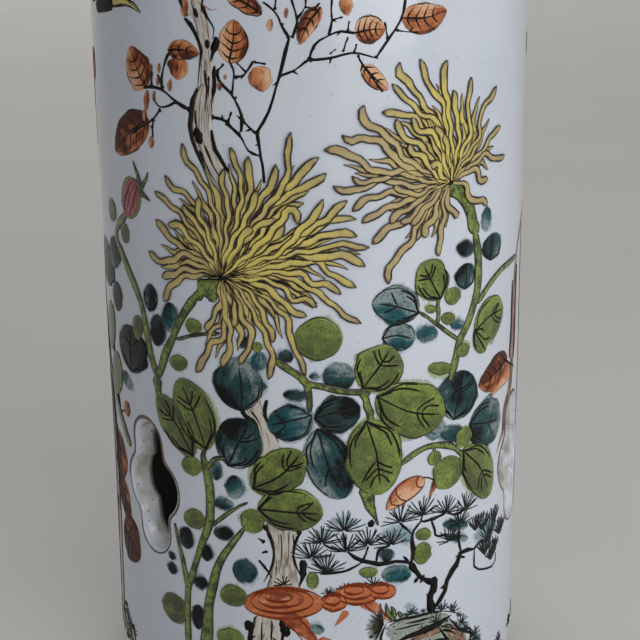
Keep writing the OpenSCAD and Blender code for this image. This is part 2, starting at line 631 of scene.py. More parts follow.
def glaze_finish():
    constants = {"Coat Weight": 0.35, "Coat Roughness": 0.03, "IOR": 1.5, "Specular IOR Level": 0.42}
    material, wire, shader = new_finish("clear_glaze", constants)
    place, flat, inside, cut = unrolled(wire)
    cloud = wire.noise(place, 0.03, 3.0)
    drip = wire.noise(place, 0.12, 2.0, (1, 1, 0.15))
    tint = wire.mix(cloud.rise(0.35, 0.7), GLAZE_WHITE, GLAZE_POOL)
    tint = wire.mix(drip.rise(0.45, 0.75) * 0.5, tint, GLAZE_WARM)
    dots = specks(wire, flat, 7.0, 0.17, 0.45)
    faint = specks(wire, flat, 3.1, 0.12, 0.3) * 0.45
    tint = wire.mix(faint, tint, IRON_SPECK)
    tint = wire.mix(dots * 0.85, tint, IRON_SPECK)
    # Painted shade: the deep inside of the tube is painted grey-brown
    tint = wire.mix(inside, tint, INSIDE_SHADE_GREY)
    orange_peel = wire.noise(place, 0.25, 1.0)
    # Knife marks under the glaze make the cut faces lumpy, with a few dirty pits
    lumps = wire.noise(place, 0.3, 2.0, (1, 1, 0.6))
    pits = cut * wire.noise(place, 0.55, 2.0).rise(0.62, 0.7)
    dust = cut * wire.noise(place, 0.16, 3.0).rise(0.4, 0.65)
    # Painted highlight: the cut faces are painted whiter than the glaze, standing in for the glints on them
    tint = wire.mix(cut * 0.8, tint, CUT_SHEEN_WHITE)
    tint = wire.mix(dust * 0.7, tint, CUT_DUST)
    tint = wire.mix(pits * 0.6, tint, PIT_GREY)
    feed(shader, wire, {
        "Base Color": tint,
        "Roughness": 0.12 + 0.1 * cloud + 0.3 * inside,
        "Normal": lightly_bumped(wire, 0.02 * orange_peel + 0.9 * cut * lumps, 1.0),
    })
    return material


def biscuit_finish():
    material, wire, shader = new_finish("bare_biscuit", {"Specular IOR Level": 0.3})
    place = wire.node("TexCoord", None, None, "Object")
    grain = wire.noise(place, 1.8, 4.0)
    flash = wire.noise(place, 0.05, 2.0)
    tint = wire.mix(flash.rise(0.3, 0.7), (226, 214, 192), (196, 160, 120))
    tint = wire.mix(grain.rise(0.62, 0.75) * 0.5, tint, (120, 105, 90))
    feed(shader, wire, {
        "Base Color": tint,
        "Roughness": 0.75 + 0.15 * grain,
        "Normal": lightly_bumped(wire, grain, 0.06),
    })
    return material


def dress(piece, material, slot, *nodes):
    """Give a piece its finish and its body, and hide the nodes it stands for."""
    piece.data.materials.clear()
    piece.data.materials.append(material)
    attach(piece, "root")
    if nodes:
        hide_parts(*nodes)


clear_glaze = glaze_finish()
for node, piece in clay.items():
    dress(piece, clear_glaze, "clear_glaze", node)
dress(foot_ring, biscuit_finish(), "bare_biscuit", "foot_ring")
print("glaze and biscuit are on the seven clay pieces")

# %% [markdown]
# ## Brush strokes
# Overglaze enamel stands a little proud of the glaze, so a painted mark has a real thickness. Displacing
# the whole wall would need millions of faces. Instead one flattened rod is modelled for each kind of mark,
# and a copy is laid along each path on the wall: its length follows the path, its width follows the hand's
# pressure, and its lower half sinks into the glaze. Every copy is a closed skin. It also remembers how far
# each point lies along the stroke and from the stroke's edge, which the finishes use for ink outlines and
# soft washes.


# %% Rod that a stroke is bent from
class Rod:
    """A flattened rod laid along a path: its vertices' places along, across and up, and its faces."""

    def __init__(self, name, sides, rings, round_ends=False):
        select_none()
        bpy.ops.mesh.primitive_cylinder_add(vertices=sides, radius=1, depth=1)
        rod = bpy.context.object
        rod.name = name
        heights = points_of(rod)[values_of(rod.data.edges, "vertices", int, 2), 2]
        edit_chosen(rod, "EDGE", np.abs(heights[:, 0] - heights[:, 1]) > 0.5)
        bpy.ops.mesh.subdivide(number_cuts=rings - 2)
        in_object()
        places = points_of(rod)
        self.ring = np.rint((places[:, 2] + 0.5) * (rings - 1)).astype(int)
        # Rings crowd towards the ends of a leaf, where its outline turns fast
        share = np.linspace(0, 1, rings)
        self.t = 0.5 - 0.5 * np.cos(np.pi * share) if round_ends else share
        # The first vertex of the primitive points up, so half of the sides lie on the free face
        self.across = places[:, 0]
        self.up = places[:, 1]
        self.faces = [tuple(face.vertices) for face in rod.data.polygons]
        mesh = rod.data
        bpy.data.objects.remove(rod)
        bpy.data.meshes.remove(mesh)


LINE_ROD = Rod("line_rod", 4, 9)
PETAL_ROD = Rod("petal_rod", 8, 24)
LEAF_ROD = Rod("leaf_rod", 12, 25, True)
print("rods have", len(LINE_ROD.faces), len(PETAL_ROD.faces), len(LEAF_ROD.faces), "faces")


# %% Paths and pressure
def smooth_path(points, rings):
    """Evenly spaced points on a smooth curve through given ones."""
    points = pairs_of(points)
    before = 2 * points[0] - points[1]
    after = 2 * points[-1] - points[-2]
    knots = np.vstack([before, points, after])
    t = np.linspace(0, 1, 12, endpoint=False)[:, None]
    curve = []
    for p, q, r, s in zip(knots, knots[1:], knots[2:], knots[3:]):
        curve.append(q + 0.5 * t * (r - p + t * (2 * p - 5 * q + 4 * r - s + t * (3 * (q - r) + s - p))))
    curve = np.vstack(curve + [points[-1:]])
    length = np.concatenate([[0], np.cumsum(np.linalg.norm(np.diff(curve, axis=0), axis=1))])
    at = np.linspace(0, length[-1], rings)
    return np.column_stack([np.interp(at, length, curve[:, i]) for i in (0, 1)])


def blunt(t, start, steep):
    """Pressure that is full except close to both ends."""
    return np.minimum(1, start + steep * np.minimum(t, 1 - t))


def even(t):
    """A line that starts and ends nearly full."""
    return blunt(t, 0.45, 6)


def thinning(t):
    """A line that starts full and ends in a point."""
    return np.minimum(1, 0.5 + 5 * t) * (1 - 0.9 * t ** 1.5)


def twiggy(t):
    """A twig: thick at both joints, thin in the middle of its run."""
    return (0.62 + 0.38 * np.abs(2 * t - 1) ** 1.6) * blunt(t, 0.6, 8)


def tapering(t):
    """A trunk: full at its foot and half as thick at its top."""
    return (1 - 0.5 * t) * blunt(t, 0.6, 6)


def growing(t):
    """A stem that comes thin out of a leaf and thickens downwards."""
    return (0.45 + 0.55 * t) * blunt(t, 0.5, 8)


def dabbed(t):
    """A short dab, thick in the middle and pointed at both ends."""
    return 0.12 + 0.88 * np.sin(np.pi * t) ** 0.8


def pointed(t):
    """A dry leaf: round at its base, with a short point."""
    return np.maximum(0.03, np.sin(np.pi * np.clip(t, 0, 1) ** 0.8) ** 0.6)


def leafy(t):
    """A fresh leaf: full and blunt."""
    return np.maximum(0.05, np.sin(np.pi * np.clip(t, 0, 1) ** 1.02) ** 0.5)


def oval(t):
    return np.maximum(0.06, np.sqrt(np.maximum(0, 1 - (2 * t - 1) ** 2)))


def petal_form(t):
    """A petal from its tip: a slightly swollen end, then a long slim body that narrows into the heart."""
    swell = 0.72 + 0.2 * np.exp(-((t - 0.1) / 0.08) ** 2) + 0.22 * np.sin(np.pi * t)
    return swell * np.minimum(1, (np.maximum(t, 0.004) / 0.05) ** 0.6) * (1 - 0.5 * t ** 2.5)


def blade_form(t):
    """A petal that shows only part of its length: a long point, then a slim body."""
    return (0.1 + 0.9 * np.minimum(1, t / 0.3) ** 0.8) * (1 - 0.5 * t ** 2.5)


def seen(pixels, width_px):
    """A path and a half width given in pixels, as millimetres on the wall."""
    pixels = pairs_of(pixels)
    middle = pixels[len(pixels) // 2 - 1:len(pixels) // 2 + 1]
    along = middle[1] - middle[0]
    beside = np.array([-along[1], along[0]]) / np.linalg.norm(along) * width_px / 2
    centre = middle.mean(0)
    flank = on_wall((centre - beside, centre + beside))
    return on_wall(pixels), float(np.linalg.norm(flank[1] - flank[0])) / 2


def round_window(centre, lean, bends, out=0.0):
    """Points that follow a window's edge in these directions, this far outside it."""
    reach = window_reach(bends, lean) + out
    return centre + np.column_stack([reach * np.cos(bends), reach * np.sin(bends)])


# %% A brush gathers the strokes of one enamel
SINK = 0.12
SPINE_STEPS = 120
rng = np.random.default_rng(20)


def sway(most):
    """A random amount, up to this much either way."""
    return rng.uniform(-most, most)


def beside_of(spine):
    """Unit steps to the left of a path."""
    heading = np.gradient(spine, axis=0)
    heading = heading / np.maximum(np.linalg.norm(heading, axis=1), 1e-9)[:, None]
    return np.column_stack([-heading[:, 1], heading[:, 0]])


def uneven(t):
    """A slow random swing between -1 and 1 along a stroke, for an edge drawn by hand."""
    return np.interp(t, np.linspace(0, 1, 7), rng.uniform(-1, 1, 7))


class Brush:
    """All the strokes of one enamel, which become one piece."""

    def __init__(self, name):
        self.name = name
        self.places = []
        self.faces = []
        self.marks = {"along": [], "side": [], "edge": [], "tone": []}
        self.count = 0

    def stroke(self, rod, path, half, form=even, lift=0.05, thick=0.05, tone=None, shake=0.0):
        """Lay a copy of a rod along a path in mm; half is its half width, form its pressure from 0 to 1."""
        t = rod.t
        at = np.rint(t * SPINE_STEPS).astype(int)
        spine = smooth_path(path, SPINE_STEPS + 1)
        beside = beside_of(spine)[at]
        spine = spine[at]
        left, right = (1 + shake * uneven(t) for _ in range(2))
        width = (half * form(t))[rod.ring] * np.where(rod.across > 0, left[rod.ring], right[rod.ring])
        spots = spine[rod.ring] + beside[rod.ring] * (rod.across * width)[:, None]
        depth = lift + np.where(rod.up > 0, thick * rod.up, (lift + SINK) * rod.up)
        self.places.append(rolled(spots[:, 0], spots[:, 1], depth))
        self.faces += [tuple(v + self.count for v in face) for face in rod.faces]
        self.count += len(spots)
        self.marks["along"].append(t[rod.ring])
        self.marks["side"].append(rod.across)
        self.marks["edge"].append((1 - np.abs(rod.across)) * width)
        shade = rng.random() if tone is None else tone
        self.marks["tone"].append(np.full(len(spots), shade))

    def piece(self, material):
        """The finished skin of enamel."""
        mesh = bpy.data.meshes.new(self.name)
        mesh.from_pydata(np.vstack(self.places) * MM, [], self.faces)
        for name, values in self.marks.items():
            layer = mesh.attributes.new(name, "FLOAT", "POINT")
            layer.data.foreach_set("value", np.concatenate(values).astype(np.float32))
        mesh.shade_smooth()
        piece = bpy.data.objects.new(self.name, mesh)
        bpy.context.scene.collection.objects.link(piece)
        select_none()
        piece.select_set(True)
        bpy.context.view_layer.objects.active = piece
        in_edit()
        bpy.ops.mesh.select_all(action="SELECT")
        bpy.ops.mesh.normals_make_consistent(inside=False)
        in_object()
        dress(piece, material, "clear_glaze")
        print(self.name, len(mesh.polygons), "faces in", len(self.places), "strokes")


brushes = {name: Brush("enamel_" + name) for name in (
    "petals", "green", "stems", "teal", "red", "bark", "brown", "ink", "rose", "lingzhi", "rust", "rock",
    "halo", "mist", "needles", "outline")}


def lay(name, *stroke, **look):
    """One more stroke of an enamel."""
    brushes[name].stroke(*stroke, **look)


print("brushes:", ", ".join(brushes))

# %% [markdown]
# ## Motifs
# The painter built the scene from a few motifs: the ribbon petal, the veined leaf, the wet leaf of blue-green
# wash, the dry red leaf, the twig, the pine tuft. Each motif is a function that lays a handful of strokes, so
# the painting below is only a list of where each one goes. A lift of a few hundredths of a millimetre puts a
# later stroke on top of an earlier one.

# %% Lines, petals and stems
INK_LIFT = 0.09
RIPPLE_STEPS = 31


def ink_line(path, half, form=even, lift=INK_LIFT, thick=0.05, shake=0.3):
    lay("ink", LINE_ROD, path, half, form, lift, thick, shake=shake)


def inked(rows, swell, *look):
    """Ink lines, each given as its width and its row of pixels."""
    for width, *pixels in rows:
        ink_line(*seen(pixels, width * swell), *look)


def wavy(path, amount):
    """Shake a path a little, as a hand does, without moving its ends."""
    path = np.array(path, float)
    path[1:-1] += rng.normal(0, amount, path[1:-1].shape)
    return path


def rippled(path, amount, length):
    """A path in mm that swings from side to side along its way."""
    spine = smooth_path(path, RIPPLE_STEPS)
    far = np.concatenate([[0], np.cumsum(np.linalg.norm(np.diff(spine, axis=0), axis=1))])
    swing = amount * np.sin(2 * np.pi * (far / length + rng.random()))
    swing = swing * np.sin(np.linspace(0, np.pi, RIPPLE_STEPS)) ** 0.5
    return spine + beside_of(spine) * swing[:, None]


def petal(path, half, lift, tone, form=petal_form):
    lay("petals", PETAL_ROD, rippled(path, 0.36, 6.4), half, form, lift, 0.012, tone, 0.2)


def stem(path, half, lift=0.14, form=even, tone=None):
    lay("stems", PETAL_ROD, path, half, form, lift, 0.1, tone, 0.3)


# %% Veins and outlines
RIB_STEPS = 40


def bowed(base, tip, bow):
    """A midrib from base to tip that bows to one side by a share of its length."""
    base, tip = np.array([base, tip], float)
    run = tip - base
    middle = base + run / 2 + np.array([-run[1], run[0]]) * bow
    return np.array([base, middle, tip])


class Blade:
    """A leaf's midrib, which gives points on the leaf by share of its length and of its half width."""

    def __init__(self, rib, half, form):
        self.spine = smooth_path(rib, RIB_STEPS + 1)
        self.beside = beside_of(self.spine)
        self.reach = half * form(np.linspace(0, 1, RIB_STEPS + 1))

    def at(self, along, across):
        ring = np.rint(np.clip(along, 0, 1) * RIB_STEPS).astype(int)
        return self.spine[ring] + self.beside[ring] * (np.asarray(across) * self.reach[ring])[:, None]


def arched_veins(blade, lift, thickness, arcs, feathers):
    """Arcs that spring from the base and follow the edge, a midrib, and strokes that spread where it ends."""
    fork = rng.uniform(0.56, 0.66)
    rib = np.linspace(0, fork + 0.27, 7)
    ink_line(blade.at(rib, sway(0.16) * np.sin(np.pi * rib / rib[-1])), thickness, even, lift)
    for side in (-1, 1):
        for i in range(arcs):
            along = np.linspace(0, rng.uniform(0.36, 0.66) - 0.12 * i, 7)
            spread = (0.86 - 0.2 * i) * np.minimum(1, along / 0.2) ** 0.8
            ink_line(blade.at(along, side * spread), thickness, even, lift)
        for i in range(feathers):
            along = fork - 0.05 + 0.08 * i + np.array([0, 0.06, rng.uniform(0.14, 0.24)])
            spread = np.array([0, 0.24, rng.uniform(0.55, 0.8) - 0.08 * i])
            ink_line(blade.at(along, side * spread), thickness, even, lift)


def paired_veins(blade, lift, thickness, pairs):
    """A midrib and pairs of side veins, as on a dry leaf."""
    ink_line(blade.at(np.linspace(0, 0.95, 9), 0), thickness * 1.25, thinning, lift)
    for i in range(pairs):
        start = 0.1 + 0.72 * i / pairs
        for side in (-1, 1):
            along = np.array([start, start + 0.06, start + rng.uniform(0.14, 0.2)])
            ink_line(blade.at(along, side * np.array([0, 0.45, 0.88])), thickness, thinning, lift)


def edge_line(blade, lift, thickness, start, end, sides=(-1, 1)):
    """Loose strokes of ink along the edges of a leaf."""
    along = np.linspace(start, end, 13)
    for side in sides:
        ink_line(wavy(blade.at(along, side * 0.97), 0.1), thickness, even, lift)


# %% Leaves
def haloed(brush_name, rib, half, form):
    """Thin colour that ran out from under a leaf, a little to one side."""
    drift = rng.normal(0, 0.35, 2)
    lay(brush_name, LEAF_ROD, np.asarray(rib) + drift, half + 0.6, form, 0.02, 0.02, None, 0.12)


def green_leaf(base, tip, half, lift, arcs=2, feathers=2, bow=0.0, form=leafy, tone=None):
    rib = bowed(base, tip, bow)
    haloed("halo", rib, half, form)
    lay("green", LEAF_ROD, rib, half, form, lift, 0.06, tone, 0.1)
    if arcs:
        arched_veins(Blade(rib, half, form), lift + 0.08, 0.26, arcs, feathers)


def wet_leaf(base, tip, half, lift, arcs=0, feathers=0, bow=0.0, form=oval, tone=None):
    """A wash leaf, a little larger than its drawing, because the wet colour ran."""
    rib = bowed(base, tip, bow)
    haloed("mist", rib, half * 1.05, form)
    lay("teal", LEAF_ROD, rib, half * 1.1, form, lift, 0.04, tone, 0.13)
    if arcs or feathers:
        blade = Blade(rib, half, form)
        arched_veins(blade, lift + 0.06, 0.24, arcs, feathers)
        edge_line(blade, lift + 0.05, 0.13, rng.uniform(0, 0.4), rng.uniform(0.6, 1))


def red_leaf(base, tip, half, lift, pairs=3, bow=0.05, tone=None):
    rib = bowed(base, tip, bow)
    lay("red", LEAF_ROD, rib, half * 1.06, pointed, lift, 0.03, tone, 0.1)
    if pairs:
        blade = Blade(rib, half, pointed)
        paired_veins(blade, lift + 0.05, 0.25, pairs)
        start, end = rng.uniform(0, 0.4), rng.uniform(0.5, 0.9)
        edge_line(blade, lift + 0.05, 0.14, start, end, (rng.choice((-1, 1)),))


print("motifs are ready")


# %% [markdown]
# ## Left chrysanthemum
# Two great yellow chrysanthemums carry the scene. Each petal is one ribbon, drawn from its hooked tip into
# the heart, and no two are alike, so each has its own path. A row below is one petal: pixels x, y from the
# tip inwards. The outer petals come first and lie lowest, the bright inner ones last and on top.

# %% Petals of the left chrysanthemum
LEFT_BLOOM = (
    (157, 219, 168, 233, 181, 246, 200, 256, 216, 269),
    (156, 191, 168, 201, 181, 213, 191, 226, 205, 243, 216, 261),
    (166, 175, 173, 186, 186, 193, 196, 203, 205, 219, 214, 246),
    (183, 143, 187, 158, 198, 173, 208, 190, 215, 209, 220, 226, 222, 262),
    (150, 251, 158, 259, 170, 261, 183, 254, 198, 258, 213, 269),
    (163, 277, 173, 274, 186, 269, 200, 271, 215, 275),
    (165, 301, 170, 289, 180, 279, 193, 275, 205, 275, 218, 277),
    (207, 331, 214, 317, 221, 304, 220, 289, 222, 280),
    (197, 372, 205, 359, 211, 345, 223, 337, 226, 318, 225, 296),
    (223, 367, 230, 349, 231, 332, 226, 311, 223, 289),
    (234, 326, 236, 307, 231, 291, 226, 281),
    (240, 364, 249, 347, 253, 334, 244, 319, 238, 301, 231, 286),
    (269, 379, 273, 360, 269, 344, 264, 332, 253, 311, 241, 291, 230, 281),
    (274, 342, 271, 329, 264, 317, 256, 299, 244, 287, 231, 279),
    (306, 375, 299, 355, 291, 341, 289, 322, 276, 306, 259, 292, 243, 284, 230, 279),
    (307, 316, 291, 309, 278, 296, 264, 286, 249, 281, 232, 278),
    (317, 307, 307, 299, 293, 299, 283, 287, 266, 279, 249, 279, 232, 277),
    (361, 323, 346, 316, 329, 301, 312, 289, 296, 281, 276, 274, 240, 275),
    (341, 294, 329, 284, 314, 284, 301, 274, 270, 272, 236, 275),
    (356, 287, 341, 279, 329, 273, 322, 263, 309, 261, 276, 266, 238, 274),
    (365, 266, 352, 258, 336, 254, 317, 258, 299, 253, 266, 262, 236, 273),
    (369, 247, 352, 246, 337, 243, 322, 249, 304, 251, 268, 259, 236, 272),
    (357, 236, 344, 233, 329, 234, 309, 241, 288, 249, 256, 262, 234, 272),
    (356, 219, 342, 218, 329, 221, 312, 231, 293, 244, 262, 258, 234, 271),
    (347, 200, 336, 209, 326, 219, 314, 226, 284, 243, 252, 260, 233, 271),
    (323, 199, 317, 213, 306, 224, 291, 241, 279, 253, 250, 264, 233, 272),
    (304, 203, 291, 205, 279, 213, 266, 226, 253, 246, 238, 262, 228, 272),
    (309, 190, 294, 195, 279, 203, 263, 219, 249, 239, 236, 258, 227, 271),
    (326, 173, 317, 181, 304, 186, 289, 195, 273, 205, 250, 232, 230, 266),
    (319, 157, 306, 166, 296, 181, 281, 191, 269, 205, 256, 223, 238, 251),
    (291, 132, 288, 150, 289, 163, 286, 180, 278, 193, 258, 219, 234, 256),
    (276, 164, 276, 176, 268, 190, 256, 206, 246, 226, 232, 256),
    (249, 156, 249, 170, 253, 183, 248, 198, 243, 216, 236, 233, 228, 258),
    (231, 147, 236, 160, 241, 175, 243, 191, 241, 206, 234, 234, 227, 258),
    (225, 168, 224, 186, 230, 203, 228, 226, 226, 249, 224, 264),
    (185, 239, 195, 243, 206, 253, 215, 266),
    (170, 224, 180, 224, 188, 233, 200, 245, 214, 262),
    (185, 204, 190, 214, 201, 226, 211, 246, 219, 264),
    (200, 196, 201, 213, 210, 233, 216, 253, 220, 266),
    (258, 190, 253, 206, 243, 226, 231, 246, 225, 266),
    (276, 218, 259, 226, 246, 239, 233, 258, 226, 270),
    (284, 219, 279, 233, 263, 246, 246, 261, 230, 274),
    (274, 233, 258, 246, 243, 261, 228, 274),
    (253, 226, 243, 239, 231, 261, 226, 271),
    (299, 224, 297, 211, 287, 210, 283, 218, 275, 228, 258, 246),
)
LEFT_ROOT = (223, 277)
LEFT_INNER = 35
PETAL_HALF = 1.12
PETAL_LIFT = 0.32
PETAL_STEP = 0.013
FILL_LIFT = 0.2
WIDEST_GAP = 0.6


def to_root(pixels, root_px):
    """A petal from tip to heart in mm on the wall, ending just short of the flower's root."""
    path = on_wall(pixels)
    root = on_wall([root_px])[0]
    inward = root - path[-1]
    far = np.linalg.norm(inward)
    if far > 1.6:
        path = np.vstack([path, root - inward / far * rng.uniform(0.4, 1.2)])
    return path


def between(first, second, share):
    """A shorter petal that runs midway between two neighbours."""
    middle = (smooth_path(first[::-1], 21) + smooth_path(second[::-1], 21)) / 2
    return middle[:max(5, int(21 * share))][::-4]


def bloom(paths, root, bright, reach, inner_from):
    """Lay the petals of one flower in mm: part-hidden ones in the gaps, then the drawn ones, inner ones last.

    The petals are yellow about the bright spot, which is given from the root, and buff beyond its reach.
    """
    def tone_of(path):
        return float(np.clip(1.15 - np.linalg.norm(path.mean(0) - root - bright) / reach, 0.02, 1))

    away = [path[len(path) // 2] - root for path in paths]
    turns = [math.atan2(step[1], step[0]) for step in away]
    by_turn = sorted(range(len(paths)), key=turns.__getitem__)
    for count, (first, second) in enumerate(zip(by_turn, by_turn[1:])):
        if turns[second] - turns[first] > WIDEST_GAP:
            continue
        for layer, share in enumerate((0.92, 0.62)):
            path = between(paths[first], paths[second], share * rng.uniform(0.88, 1.05))
            lift = FILL_LIFT + PETAL_STEP * ((2 * count + layer) % 8)
            petal(path, PETAL_HALF * rng.uniform(0.85, 1.05), lift, tone_of(path), blade_form)
    for i, path in enumerate(paths):
        tone = min(1.0, tone_of(path) + 0.25 * (i >= inner_from))
        petal(path, PETAL_HALF * rng.uniform(0.88, 1.12), PETAL_LIFT + i * PETAL_STEP, tone)
    # A dark dab and a few loose ink strokes in the heart
    top = PETAL_LIFT + len(paths) * PETAL_STEP
    ink_line([root - (0.8, 0.5), root, root + (0.9, 0.3)], 0.7, oval, top - 0.03, 0.02)
    for i in by_turn[::4]:
        heart = smooth_path(paths[i][::-1], 21)[:rng.integers(5, 9):2]
        ink_line(heart + rng.normal(0, 0.15, heart.shape), 0.13, thinning, top, 0.02)


left_petals = [to_root(pixels, LEFT_ROOT) for pixels in LEFT_BLOOM]
left_root = on_wall([LEFT_ROOT])[0]
bloom(left_petals, left_root, np.array([11, 7]), 24, LEFT_INNER)
print(len(LEFT_BLOOM), "petals in the left flower")

# %% Petals of the right chrysanthemum
RIGHT_BLOOM = (
    (400, 62, 400, 75, 410, 84, 418, 96, 427, 109, 436, 123, 446, 160),
    (392, 84, 399, 93, 410, 102, 418, 112, 432, 119, 441, 129, 447, 164),
    (420, 59, 425, 74, 431, 91, 441, 99, 445, 116, 446, 129, 449, 168),
    (447, 60, 443, 75, 445, 89, 448, 109, 450, 129, 452, 148, 450, 174),
    (453, 90, 455, 102, 456, 117, 459, 133, 457, 148, 453, 169, 450, 178),
    (471, 77, 469, 92, 467, 110, 467, 117, 471, 130, 464, 145, 456, 165, 451, 178),
    (496, 86, 490, 98, 481, 110, 479, 123, 479, 134, 471, 148, 460, 162, 452, 178),
    (500, 126, 490, 136, 486, 145, 474, 158, 464, 168, 453, 179),
    (504, 155, 495, 159, 486, 154, 476, 161, 466, 169, 454, 180),
    (487, 179, 480, 180, 476, 171, 466, 171, 457, 179, 450, 181),
    (486, 206, 481, 199, 470, 201, 466, 187, 459, 183, 450, 181),
    (457, 217, 450, 209, 446, 199, 447, 186),
    (438, 256, 438, 244, 441, 228, 443, 214, 442, 199, 445, 189),
    (424, 238, 425, 227, 432, 218, 436, 206, 439, 193, 445, 185),
    (388, 284, 388, 270, 394, 259, 404, 248, 412, 238, 416, 226, 424, 211, 435, 197, 444, 186),
    (372, 244, 383, 231, 396, 223, 410, 218, 424, 199, 440, 186),
    (362, 223, 370, 216, 382, 210, 396, 204, 417, 197, 436, 189, 446, 183),
    (352, 211, 362, 201, 376, 196, 390, 192, 410, 193, 432, 187, 446, 182),
    (333, 186, 342, 190, 358, 190, 372, 183, 386, 180, 407, 185, 429, 186, 446, 182),
    (352, 176, 361, 182, 376, 180, 390, 175, 404, 173, 418, 179, 442, 182),
    (324, 150, 334, 150, 348, 154, 361, 162, 370, 169, 386, 173, 404, 169, 427, 176, 445, 181),
    (342, 135, 352, 141, 363, 137, 379, 141, 390, 151, 399, 162, 418, 169, 443, 180),
    (364, 105, 361, 114, 368, 124, 380, 131, 392, 141, 401, 155, 410, 162, 438, 178),
    (382, 112, 396, 114, 411, 115, 421, 126, 432, 142, 444, 170),
    (396, 119, 401, 134, 410, 140, 424, 150, 440, 175),
    (390, 224, 399, 211, 411, 207, 424, 194, 442, 184),
    (399, 223, 410, 217, 421, 206, 432, 196, 444, 185),
    (410, 225, 421, 211, 432, 199, 444, 186),
    (393, 185, 404, 192, 418, 193, 432, 187, 445, 183),
    (411, 117, 417, 129, 431, 133, 439, 145, 443, 162, 448, 178),
    (408, 144, 413, 154, 424, 157, 429, 169, 439, 179, 447, 182),
    (434, 126, 439, 134, 445, 148, 449, 169, 450, 180),
    (443, 134, 446, 151, 450, 173, 450, 180),
    (429, 166, 436, 165, 441, 176, 447, 182),
)
RIGHT_ROOT = (449, 182)
RIGHT_INNER = 29
right_petals = [to_root(pixels, RIGHT_ROOT) for pixels in RIGHT_BLOOM]
right_root = on_wall([RIGHT_ROOT])[0]
bloom(right_petals, right_root, np.array([-1, 13]), 15, RIGHT_INNER)
print(len(RIGHT_BLOOM), "petals in the right flower")

# %% [markdown]
# ## Stems and green leaves
# Thick green enamel was laid over an ink drawing: a few long stems, big veined leaves in the middle and small
# round ones along the twigs. A stem is a row of pixels with its width, a leaf has a base, a tip and a width,
# and a round leaf has a centre, a width and a height.

# %% Stems
STEMS = (
    (8, 197, 294, 182, 317, 173, 338, 165, 357, 158, 380),
    (20, 198, 286, 210, 287, 223, 286),
    (9, 216, 301, 207, 290, 195, 298),
    (5, 117, 239, 130, 273, 142, 303, 149, 338, 158, 380),
    (8, 158, 376, 160, 398, 168, 412),
    (4, 176, 339, 198, 335, 220, 333),
    (8, 206, 447, 203, 456, 208, 478, 210, 495, 209, 523, 203, 541, 193, 574, 188, 593, 189, 652),
    (7, 273, 357, 288, 369, 307, 384, 310, 412),
    (7, 300, 381, 332, 389, 370, 394),
    (9, 362, 388, 367, 404, 372, 424),
    (6, 400, 465, 420, 450, 434, 445, 451, 446, 464, 456),
    (13, 446, 182, 459, 192, 470, 212, 477, 234),
    (7, 474, 226, 478, 255, 479, 281, 475, 301, 468, 324, 459, 342, 455, 361, 450, 380),
    (4, 461, 342, 446, 331, 434, 322, 419, 312),
    (4, 438, 324, 438, 310, 438, 296),
    (4, 478, 303, 490, 285, 503, 268, 516, 255),
    (4, 127, 212, 117, 230, 118, 243),
    (3, 115, 385, 119, 406, 126, 432, 131, 446),
    (3, 434, 446, 434, 460),
    (4, 457, 449, 463, 438),
    (5, 206, 470, 214, 460, 226, 458),
)
GROWING_STEMS = (
    (6, 248, 502, 230, 512, 212, 526),
    (13, 246, 526, 231, 545, 221, 561, 214, 580, 210, 606, 206, 652),
    (6, 175, 523, 180, 548, 185, 567, 190, 590),
)
HOOKED_STEMS = ((15, 365, 486, 371, 506, 378, 525),)
for rows, form in ((STEMS, even), (GROWING_STEMS, growing), (HOOKED_STEMS, thinning)):
    for width, *pixels in rows:
        stem(*seen(pixels, width), form=form)
    print(len(rows), form.__name__, "stems")

# %% Green leaves
# Base x, y and tip x, y, width, arcs on each side, feather strokes at the tip, and tone from dark to bright;
# the leaves on the left are darker, partly their own green and partly painted shade where the light falls off
GREEN_VEINED = (
    (362, 388, 391, 346, 47, 2, 2, 0.3),
    (376, 396, 444, 415, 60, 2, 2, 0.3),
    (366, 420, 381, 494, 58, 2, 3, 0.6),
    (207, 450, 180, 378, 38, 2, 2, -0.1),
    (194, 456, 158, 395, 27, 2, 2, -0.5),
    (253, 488, 303, 452, 46, 2, 2, -0.3),
    (258, 508, 323, 514, 43, 2, 2, -0.2),
    (440, 299, 421, 263, 36, 2, 2, 0.3),
    (474, 331, 503, 307, 27, 1, 2, 0.0),
    (474, 331, 485, 351, 15, 1, 0, 0.3),
    (462, 450, 489, 494, 32, 2, 2, -0.2),
)
# Round leaves by tone: middle x, y, width and height. The darkest ones lie at the left edge and the lower
# left, partly their own dark green and partly painted shade where the light falls off
GREEN_ROUND = {
    -1.0: (
        (173, 607, 23, 28), (125, 233, 8, 19), (112, 210, 7, 20), (138, 327, 9, 24), (112, 326, 6, 44),
        (117, 372, 8, 40)),
    -0.6: (
        (179, 361, 18, 15), (195, 519, 21, 19), (234, 596, 27, 21)),
    -0.25: (
        (318, 338, 48, 43), (194, 325, 16, 15), (192, 465, 20, 18), (448, 317, 14, 12), (440, 367, 24, 13)),
    0.4: (
        (252, 521, 24, 24), (231, 637, 27, 18), (453, 296, 15, 18), (463, 350, 12, 14), (434, 458, 13, 15),
        (463, 437, 16, 20), (423, 534, 15, 12), (422, 553, 17, 22), (368, 571, 18, 11), (448, 472, 28, 33)),
    1.2: (
        (312, 580, 12, 16), (431, 308, 11, 8), (257, 347, 10, 10)),
}


def round_leaf(middle_x, middle_y, width, height):
    """Ends and width of a round leaf, laid along its longer way."""
    if height >= width:
        ends = (middle_x, middle_y + height / 2, middle_x + 1, middle_y - height / 2)
        return seen(ends, width)
    ends = (middle_x - width / 2, middle_y, middle_x + width / 2, middle_y + 1)
    return seen(ends, height)


